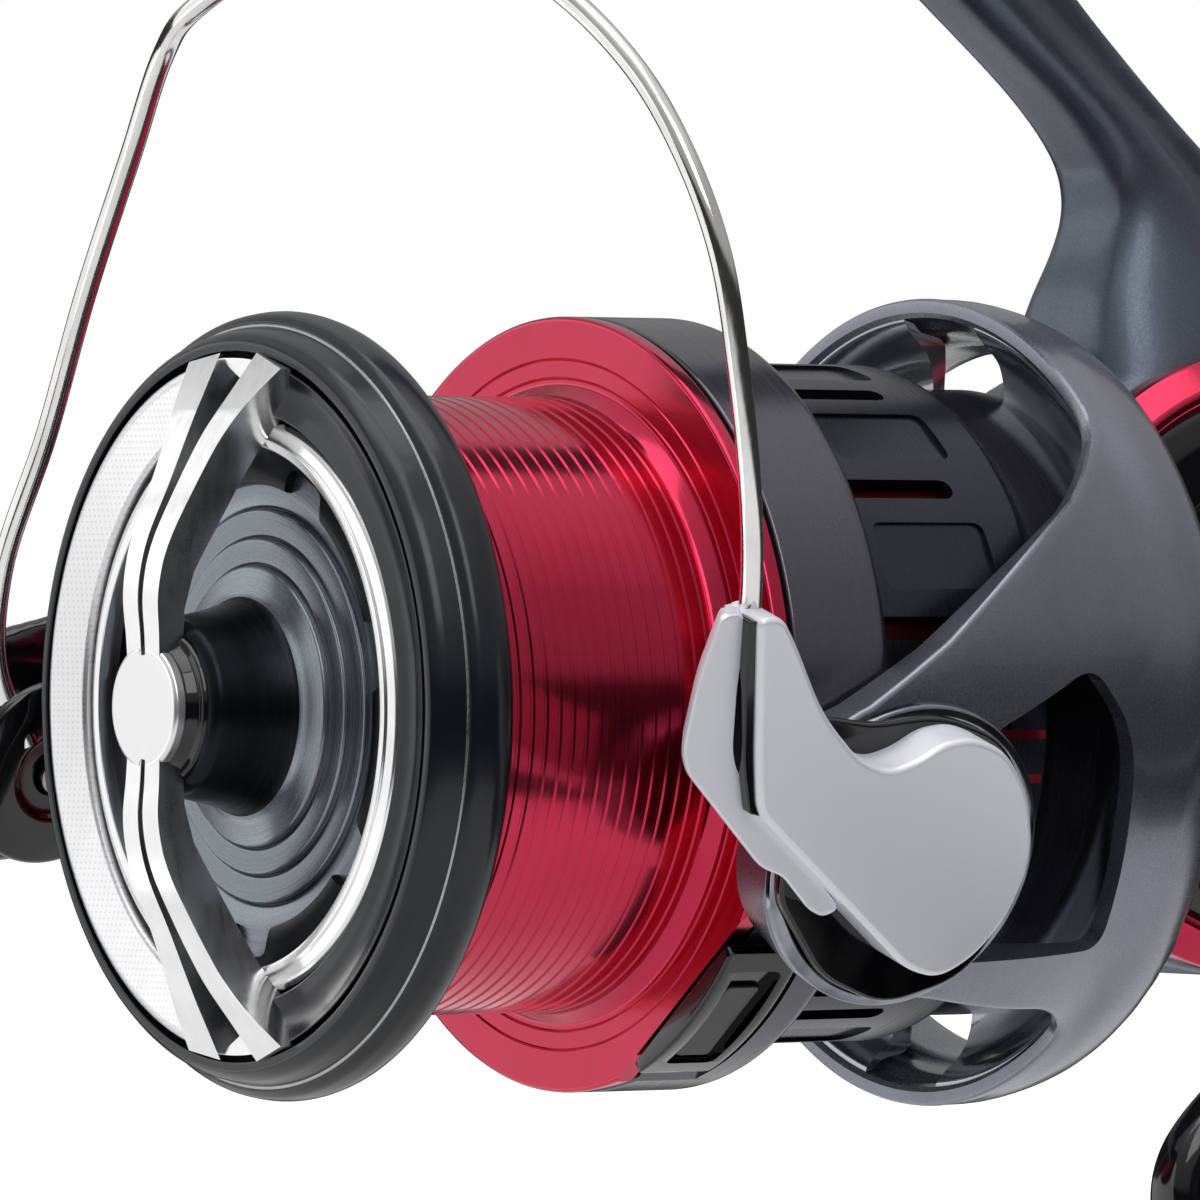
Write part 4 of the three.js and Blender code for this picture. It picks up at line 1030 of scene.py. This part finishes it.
def make_holder_inlays():
    """A black strip of painted shade in the step between plate and wing, and a black liner behind the plate."""
    # The black strip covers the plate's side wall: painted shade.
    groove = rounded([
        (-10.6, 16.4, 0.2), (-8.4, 16.4, 0.4), (-8.2, 12, 1), (-7.4, 6.5, 1), (-7.0, 4.0, 0.2),
        (-8.0, 4.2, 0.2), (-9.1, 7.4, 1), (-10.2, 13.4, 1),
    ], 4)
    groove = prism(groove, 30.2, 33.35, "X", 0.1)
    finish_piece(groove, "bail_holder_painted_shade_strip", "bail", GLOSS)
    backing = rounded([
        (-1.8, 9.4, 0.8), (2, 8.9, 1), (7, 9.5, 2), (12, 7.9, 2), (15.2, 3.4, 2), (15.6, -2, 2.5),
        (12.6, -7.6, 2.5), (6.6, -9.4, 2), (1.6, -7.4, 1.5), (-2.6, -2.4, 1), (-3, 2, 2),
    ], 6)
    liner = prism(backing, 29.85, 30.7, "X", 0.25, 3)
    finish_piece(liner, "bail_holder_liner", "bail", GLOSS, sharp=40)


def make_lever():
    """The far lever: a rounded black arm whose bulb carries the line roller."""
    line = [(PIVOT_Y + 5.6, 1.2), (PIVOT_Y, 0), (0, -3.2), (-8, -7.4), (-15, -11), (ROLLER_Y, ROLLER_W)]
    path = smooth_path(line, 6)
    half_widths = [(0, 1.0), (0.06, 4.2), (0.2, 6.2), (0.45, 6.0), (0.8, 7.4), (1.0, 8.0)]
    lengths = [0.0]
    for p, q in zip(path, path[1:]):
        lengths.append(lengths[-1] + (q - p).length)
    sections = []
    for i, (point, run) in enumerate(zip(path, directions(path))):
        across = Vector((-run[1], run[0]))
        half = between(half_widths, lengths[i] / lengths[-1], soft=True)
        ring = []
        for c, s in circle(0, 0, 1, 28):
            q = point + across * (power(c, 0.7) * half)
            ring.append((-31.25 + power(s, 0.6) * 1.3, q[0], q[1]))
        sections.append(ring)
    arm = skin(sections)
    bulb = lathe_across([
        (-33.3, 0), (-33.3, 3.4, 0.6), (-32.9, 6.6, 1.2), (-31.6, 8.2, 1.0), (-30.2, 7.6, 0.6),
        (-29.9, 5.8, 0.3), (-29.9, 0),
    ], ROLLER_Y, ROLLER_W)
    lever = melt(joined([arm, bulb]), 0.28, 10)
    seat = [(-34, 0), (-34, 3.2), (-32.9, 3.0), (-32.9, 1.4), (-28, 1.4), (-28, 0)]
    lever = cut(lever, lathe_across(seat, ROLLER_Y, ROLLER_W, 64))
    lever = cut(lever, plug(-36, -28, 2.3, PIVOT_Y, 0, 48))
    finish_piece(lever, "line_roller_lever_fine", "bail", GLOSS, ["line_roller_lever"], sharp=45)


def make_roller():
    roller = lathe_across([
        (-29.5, 2.4), (-29.5, 3.5, 0.25), (-28.7, 3.45, 0.3), (-28.1, 2.85, 0.3), (-27.8, 2.85, 0.3),
        (-27.2, 3.45, 0.3), (-26.5, 3.5, 0.25), (-26.5, 2.4),
    ], ROLLER_Y, ROLLER_W)
    finish_piece(roller, "line_roller_fine", "line_roller", CHROME, ["line_roller"])
    cover = lathe_across([
        (-26.2, 1.5), (-26.2, 5.6, 0.3), (-26.0, 6.3, 0.4), (-25.3, 6.1, 0.5), (-24.85, 4.6, 0.6),
        (-24.8, 3.0, 0.2), (-25.3, 2.6, 0.2), (-25.3, 1.5),
    ], ROLLER_Y, ROLLER_W)
    finish_piece(cover, "wire_end_cover", "bail", GLOSS, ["wire_cone"])
    screw = [(-33.8, 0), (-33.8, 2.1, 0.3), (-33.0, 2.6, 0.2), (-33, 1.2), (-24.6, 1.2), (-24.6, 0)]
    screw = lathe_across(screw, ROLLER_Y, ROLLER_W)
    screw = cut(screw, prism(circle(ROLLER_Y, ROLLER_W, 1.1, 6), -34.5, -33.2, "X"))
    finish_piece(screw, "line_roller_screw_fine", "bail", STEEL, ["line_roller_screw"])


# ---- Body ----------------------------------------------------------------------------------------

STEM_FRONT = [
    (12, 38.2), (18, 38.3), (22, 38.9), (26.2, 39.9), (29.5, 41.2), (32, 41.8), (34.6, 41.3), (38, 38.7),
    (44.6, 30.8), (52, 21.6), (59.4, 12.9), (62, 10.6),
]
STEM_REAR = [
    (12, 60), (16, 59.8), (24, 58.4), (30, 55.4), (38, 47), (44, 41), (48, 37.2), (52, 33.6), (56, 31.6),
    (60, 31.2), (62, 31.2),
]
STEM_HALF = [
    (12, 9.6), (22, 7.9), (30, 5.4), (38, 4.2), (44, 3.7), (50, 3.9), (56, 4.6), (59, 5.9), (61, 7.0),
    (62, 7.2),
]
STEM_SECTION = [
    (0.0, 0.0), (0.46, 0.0), (0.64, 0.015), (0.88, 0.12), (1.0, 0.28), (0.96, 0.45), (0.8, 0.6),
    (0.76, 0.7), (0.84, 0.82), (0.74, 0.94), (0.4, 1.0), (0.0, 1.0),
]


STEM_LOW = 12.5
STEM_HIGH = 61.2
STEM_ROWS = 60


def fine(knots):
    return [tuple(p) for p in smooth_path(knots, 6)]


def make_stem():
    front, rear, half = fine(STEM_FRONT), fine(STEM_REAR), fine(STEM_HALF)
    right = [tuple(p) for p in smooth_path(STEM_SECTION, 4)]
    outline = right + [(-x, y) for x, y in reversed(right[1:-1])]
    sections = []
    for k in range(STEM_ROWS + 1):
        z = STEM_LOW + (STEM_HIGH - STEM_LOW) * k / STEM_ROWS
        y0, y1, h = between(front, z), between(rear, z), between(half, z)
        sections.append([(x * h, y0 + (y1 - y0) * y, z) for x, y in outline])
    return skin(sections)


FOOT_TOP = 62.0
FOOT_MIDDLE = 17.0
FOOT_HALF = 31.0
FOOT_WIDTHS = [(0, 7.5), (12, 7.45), (20, 6.2), (27, 4.8), (31, 4.2)]
FOOT_DEPTHS = [(0, 3.5), (12, 3.3), (20, 2.5), (31, 1.4)]


def make_foot():
    """A flat top over a crowned underside, both thinning towards the two ends."""
    sections = []
    for k in range(49):
        s = -1 + 2 * k / 48
        away = abs(s * FOOT_HALF)
        end = min(1.0, (FOOT_HALF - away) / 4.0)
        width = between(FOOT_WIDTHS, away) * math.sqrt(max(0.03, 1 - (1 - end) ** 2))
        thick = between(FOOT_DEPTHS, away) * max(0.35, math.sqrt(end))
        ring = [(width, FOOT_TOP)]
        for i in range(1, 12):
            t = math.pi * i / 12
            depth = 0.3 + (thick - 0.3) * math.sin(t) ** 0.8
            ring.append((width * power(math.cos(t), 0.6), FOOT_TOP - depth))
        ring.append((-width, FOOT_TOP))
        along = FOOT_MIDDLE + s * FOOT_HALF * 0.999
        sections.append([(x, along, z) for x, z in ring])
    return skin(sections)


def tail_outline(inset):
    return rounded([
        (48, CASE_Z + 20.4 - inset), (57, 19.5 - inset, 5), (73 - inset, 6 - inset, 4),
        (73 - inset, -14.5 + inset, 2), (56, CASE_Z - 19.2 + inset, 4), (48, CASE_Z - 20.4 + inset),
    ], 6)


def make_body():
    case = lathe_across([
        (-10, 0), (-10, 18.6, 1.0), (-8.8, 20.4, 1.0), (6.6, 20.4, 0.4), (7.4, 19.8, 0.3), (7.4, 0),
    ], CASE_Y, CASE_Z, 128)
    tail = prism(tail_outline(0), -9.2, 6.6, "X", 0.8)
    collar = lathe([
        (31.3, 0), (31.3, 18.6, 0.5), (32, 19.3, 0.5), (36, 19.3, 0.5), (40, 17, 0.5), (40, 0),
    ], 96)
    boss = lathe([(27.9, 0), (27.9, 8.6, 0.4), (33, 8.6), (33, 0)], 64)
    far_boss = lathe_across([(-12, 0), (-12, 7, 0.5), (-8, 7.6, 0.5), (-8, 0)], DRIVE_Y, DRIVE_Z)
    body = melt(joined([case, tail, collar, boss, far_boss, make_stem()]), 0.4, 7)
    body = cut(body, plug(-8.4, 12, 17.6, CASE_Y, GEAR_ROOM_Z, 96))
    body = cut(body, prism(tail_outline(1.7), -8.0, 4.9, "X"))
    body = cut(body, lathe([(27, 0), (27, 6.8), (31, 6.8), (31, 3.7), (34, 3.7), (34, 0)], 64))
    far_seat = [(-13, 0), (-13, 5.2), (-9.2, 5.2), (-9.2, 3.4), (-7, 3.4), (-7, 0)]
    body = cut(body, lathe_across(far_seat, DRIVE_Y, DRIVE_Z, 64))
    body = cut(body, block(-20, 20, -20, 60, 61.85, 70))
    body = joined([body, make_foot()])
    finish_piece(body, "reel_body_fine", "body", BODY_PAINT, ["reel_body"], sharp=50)


def screw_places():
    angles = [math.radians(a) for a in (15, 75, 285)]
    return [(CASE_Y + 13.6 * math.cos(a), CASE_Z + 13.6 * math.sin(a)) for a in angles]


def make_side_cover():
    plate = [
        (7.7, 16.6), (7.7, 18.2), (9.7, 18.25, 0.4), (10.6, 17.3, 0.5), (11.0, 15.8, 0.5), (11.05, 12.4, 0.3),
        (10.75, 12.0, 0.2), (10.75, 7.6, 0.2), (10.9, 0), (9.4, 0), (9.4, 15.4),
    ]
    cover = lathe_across(plate, CASE_Y, CASE_Z, 224)
    boss = lathe_across([
        (8.4, 0), (8.4, 7.4, 0.4), (12.2, 7.2, 0.6), (13, 6.2, 0.5), (13, 3.7, 0.3), (12.2, 3.6), (11.6, 0),
    ], DRIVE_Y, DRIVE_Z, 128)
    cover = cut(add(cover, boss), block(*ROTOR_ROOM))
    seat = [(7, 0), (7, 5.2), (11.2, 5.2), (11.2, 3.6), (14, 3.6), (14, 0)]
    cover = cut(cover, lathe_across(seat, DRIVE_Y, DRIVE_Z, 64))
    for y, z in screw_places():
        cover = cut(cover, plug(9.9, 12, 2.1, y, z, 40))
    finish_piece(cover, "side_cover_fine", "body", GLOSS, ["side_cover"], sharp=32)


def make_cover_ring():
    ring = lathe_across([
        (7.7, 17.9), (7.7, 20.3, 0.2), (9.3, 20.35, 0.3), (11.0, 18.6, 0.3), (10.9, 17.9, 0.2),
    ], CASE_Y, CASE_Z, 256)
    ring = cut(ring, block(*ROTOR_ROOM))
    finish_piece(ring, "side_cover_ring_fine", "body", RED, ["side_cover_ring"], sharp=32)


def make_cover_screws():
    for i, (y, z) in enumerate(screw_places()):
        head = [(10.2, 0), (10.2, 1.8, 0.1), (10.75, 1.7, 0.2), (10.9, 1.3, 0.1), (10.9, 0)]
        slot = block(10.6, 12, y - 1.1, y + 1.1, z - 0.22, z + 0.22)
        screw = cut(lathe_across(head, y, z, 48), slot)
        name = f"cover_screw_{i + 1}"
        finish_piece(screw, f"cover_screw_fine_{i + 1}", "body", STEEL, [name])


def make_rear_cover():
    cover = prism(panel(-8.6, 6.0, -13.8, 5.2, 4, 8), 73.3, 79.5, "Y", 1.8, 6)
    finish_piece(cover, "rear_cover_fine", "body", GLOSS, ["rear_cover"], sharp=50)


def make_far_cap():
    cap = lathe_across([
        (-14, 0), (-14.1, 4.2, 0.4), (-13.7, 4.6, 0.2), (-14.0, 5.2, 0.2), (-13.4, 6.4, 0.4), (-12.3, 6.4),
        (-12.3, 4.8), (-11.7, 4.8), (-11.7, 0),
    ], DRIVE_Y, DRIVE_Z, 128)
    outline = panel(DRIVE_Y - 3.2, DRIVE_Y + 3.2, DRIVE_Z - 0.6, DRIVE_Z + 0.6, 0.3, 5)
    slot = prism(outline, -15, -13.3, "X")
    finish_piece(cut(cap, slot), "far_side_cap_fine", "body", GLOSS, ["far_side_cap"])


# ---- Handle --------------------------------------------------------------------------------------


HUB_HALF = 6.5
EYE_HALF = 6.2
ARM_ROWS = 80
ARM_END_GAP = 0.02
ARM_PLAN = [(0, HUB_HALF), (12, 4.1), (ARM_LENGTH - 12, 4.0), (ARM_LENGTH, EYE_HALF)]
ARM_PLACE = [(5, 26.8), (ARM_LENGTH - 8, 39.9)]
ARM_THICK = [(0, 2.4), (20, 2.5), (ARM_LENGTH, 2.3)]


def make_handle_arm():
    """A rounded flat arm with two round ends, which leans outwards to the knob."""
    sections = []
    low = -HUB_HALF + ARM_END_GAP
    high = ARM_LENGTH + EYE_HALF - ARM_END_GAP
    for k in range(ARM_ROWS + 1):
        along = low + (high - low) * (1 - math.cos(math.pi * k / ARM_ROWS)) / 2
        plan = between(ARM_PLAN, along, soft=True)
        if along < 0:
            plan = math.sqrt(max(0.01, HUB_HALF**2 - along**2))
        if along > ARM_LENGTH:
            plan = math.sqrt(max(0.01, EYE_HALF**2 - (along - ARM_LENGTH) ** 2))
        centre = between(ARM_PLACE, along, soft=True)
        thick = between(ARM_THICK, along, soft=True)
        ring = []
        for c, s in circle(0, 0, 1, 36):
            ring.append((centre + thick * power(s, 0.55), along, plan * power(c, 0.8)))
        sections.append(ring)
    arm = skin(sections)
    arm = cut(arm, plug(30, 50, 1.9, ARM_LENGTH, 0, 48))
    arm = cut(arm, plug(20, 30, 2.4, 0, 0, 48))
    finish_piece(arm, "handle_arm_fine", "drive", GLOSS, ["handle_arm"], sharp=45)


def make_handle_shank():
    """The chromed shank that screws into the drive, and the black cap over its end."""
    shank = lathe_across([
        (4, 0), (4, 1.1), (13.4, 1.1), (13.4, 5.6, 0.3), (14.6, 5.6, 0.5), (15.8, 4.3, 0.6), (18, 4.0, 0.4),
        (18.3, 3.8), (18.6, 4.0, 0.2), (22, 4, 0.6), (24, 5, 0.3), (24, 2), (28.8, 2), (28.8, 0),
    ])
    finish_piece(shank, "handle_shank_fine", "drive", CHROME, ["handle_shank"])
    cap = lathe_across([
        (29.6, 0), (29.6, 5, 0.1), (30.5, 4.6, 0.4), (31, 3, 0.3), (30.8, 2.4, 0.2), (30.9, 0),
    ])
    finish_piece(cap, "handle_arm_cap_fine", "drive", GLOSS, ["handle_arm_cap"])


def make_handle_knob():
    """A waisted knob on a steel spindle, with a red plug in its end."""
    knob = lathe_across([
        (43.4, 1.9), (43.4, 4.4, 0.4), (44.8, 6.1, 0.8), (46.2, 6.2, 0.5), (50, 5.5, 2), (55.5, 4.7, 2),
        (61.5, 5.8, 2), (66.6, 7.4, 1.2), (69.2, 7.0, 0.8), (70, 5.4, 0.5), (70, 3.4, 0.2), (69.2, 3.4),
        (69.2, 1.9),
    ], ARM_LENGTH, 0, 128)
    finish_piece(knob, "handle_knob_fine", "handle_knob", SOFT_BLACK, ["handle_knob"])
    end = [(69.6, 0), (69.6, 3, 0.1), (70.2, 2.9, 0.3), (70.3, 2, 0.1), (70.3, 0)]
    end = lathe_across(end, ARM_LENGTH)
    finish_piece(end, "handle_knob_plug", "handle_knob", RED, ["handle_knob_cap"])
    spindle = [(36.6, 0), (36.6, 3, 0.3), (37.3, 3, 0.1), (37.3, 1.6), (69, 1.6), (69, 0)]
    spindle = lathe_across(spindle, ARM_LENGTH)
    finish_piece(spindle, "knob_spindle_fine", "drive", STEEL, ["knob_spindle"])


# ---- Pieces kept from the CAD --------------------------------------------------------------------


def dress_kept_nodes():
    looks = {p["node"]: p["material_slot"] for p in frame["record"]["subparts"]}
    for name, node in frame["nodes"].items():
        node.data.materials.clear()
        node.data.materials.append(SLOTS[looks[name]][0])


# ---- Studio --------------------------------------------------------------------------------------


def softbox(name, offset, size, radiance):
    """An even panel of light that faces the spool; its brightness is what a mirror would show."""
    data = bpy.data.lights.new(name, "AREA")
    data.shape = "RECTANGLE"
    data.size, data.size_y = size
    data.energy = radiance * math.pi * size[0] * size[1]
    light = bpy.data.objects.new(name, data)
    bpy.context.scene.collection.objects.link(light)
    light.location = SHAFT_AT + Vector(offset)
    light.rotation_euler = (-Vector(offset)).to_track_quat("-Z", "Y").to_euler()


SKY = [
    (0.0, 0.80), (0.18, 0.95), (0.315, 0.95), (0.35, 0.04), (0.55, 0.03), (0.595, 0.36), (0.78, 0.48),
    (0.90, 0.80), (1.0, 0.9),
]


def make_world():
    """Studio light from below to above, with a dark band at the horizon; the camera sees white."""
    world = bpy.data.worlds.new("studio")
    bpy.context.scene.world = world
    world.use_nodes = True
    tree = world.node_tree
    tree.nodes.clear()
    split = put_node(tree, "SeparateXYZ", {0: put_node(tree, "TexCoord").outputs["Generated"]})
    height = put_node(tree, "MapRange", {"Value": split.outputs["Z"], "From Min": -1, "From Max": 1})
    ramp = put_node(tree, "ValToRGB", {"Fac": height.outputs["Result"]})
    ramp.color_ramp.elements[0].position = SKY[0][0]
    ramp.color_ramp.elements[1].position = SKY[-1][0]
    for position, _ in SKY[1:-1]:
        ramp.color_ramp.elements.new(position)
    for element, (_, level) in zip(ramp.color_ramp.elements, SKY):
        element.color = (level, level, level, 1)
    lit = put_node(tree, "Background", {"Color": ramp.outputs["Color"], "Strength": 0.9})
    seen = put_node(tree, "Background", {"Color": (1, 1, 1, 1), "Strength": 1.0})
    by_camera = put_node(tree, "LightPath").outputs["Is Camera Ray"]
    mix = put_node(tree, "MixShader", {0: by_camera, 1: lit.outputs[0], 2: seen.outputs[0]})
    put_node(tree, "OutputWorld", {0: mix.outputs[0]})


FLOOR_DROP = 0.022
FLOOR_REACH = 6.0


def make_floor():
    """Plain paper, low enough for the open bail to clear it."""
    mesh = bpy.data.meshes.new("floor")
    level = cad_box[0].z - FLOOR_DROP
    corners = [(p[0], p[1], level) for p in panel(-FLOOR_REACH, FLOOR_REACH, -FLOOR_REACH, FLOOR_REACH)]
    mesh.from_pydata(corners, [], [(0, 1, 2, 3)])
    floor = bpy.data.objects.new("floor", mesh)
    bpy.context.scene.collection.objects.link(floor)
    f = Finish("floor_paper", (0.93, 0.93, 0.93), 0.9)
    f.set("Emission Color", (1, 1, 1, 1))
    f.set("Emission Strength", 0.6)
    f.vary_roughness(f.noise(f.place(), 0.02, 2), 0.05)
    mesh.materials.append(f.material)
    floor.visible_glossy = False
    floor.visible_diffuse = False


dress_kept_nodes()
make_spool()
make_lip()
make_skirt_front()
make_skirt_rear()
make_skirt_red()
make_line_clip()
make_knob_dish()
make_knob_hub()
make_knob_scallops()
make_knob_rings()
make_bars()
make_knob_cap()
make_rotor_shell()
make_rotor_drum()
make_rotor_bowl()
make_arm_bosses()
make_bail_wire()
make_holder_plate()
make_holder_wing()
make_holder_inlays()
make_lever()
make_roller()
make_body()
make_side_cover()
make_cover_ring()
make_cover_screws()
make_rear_cover()
make_far_cap()
make_handle_arm()
make_handle_shank()
make_handle_knob()

make_world()
make_floor()
softbox("left_box", (-0.47, -0.58, 0.02), (1.1, 0.8), 1.0)
softbox("top_box", (0.05, -0.10, 0.70), (0.55, 0.55), 1.6)
softbox("key_box", (0.55, -0.20, 0.48), (0.35, 0.45), 2.4)

scene = bpy.context.scene
scene.view_settings.view_transform = "Standard"
scene.view_settings.look = "None"
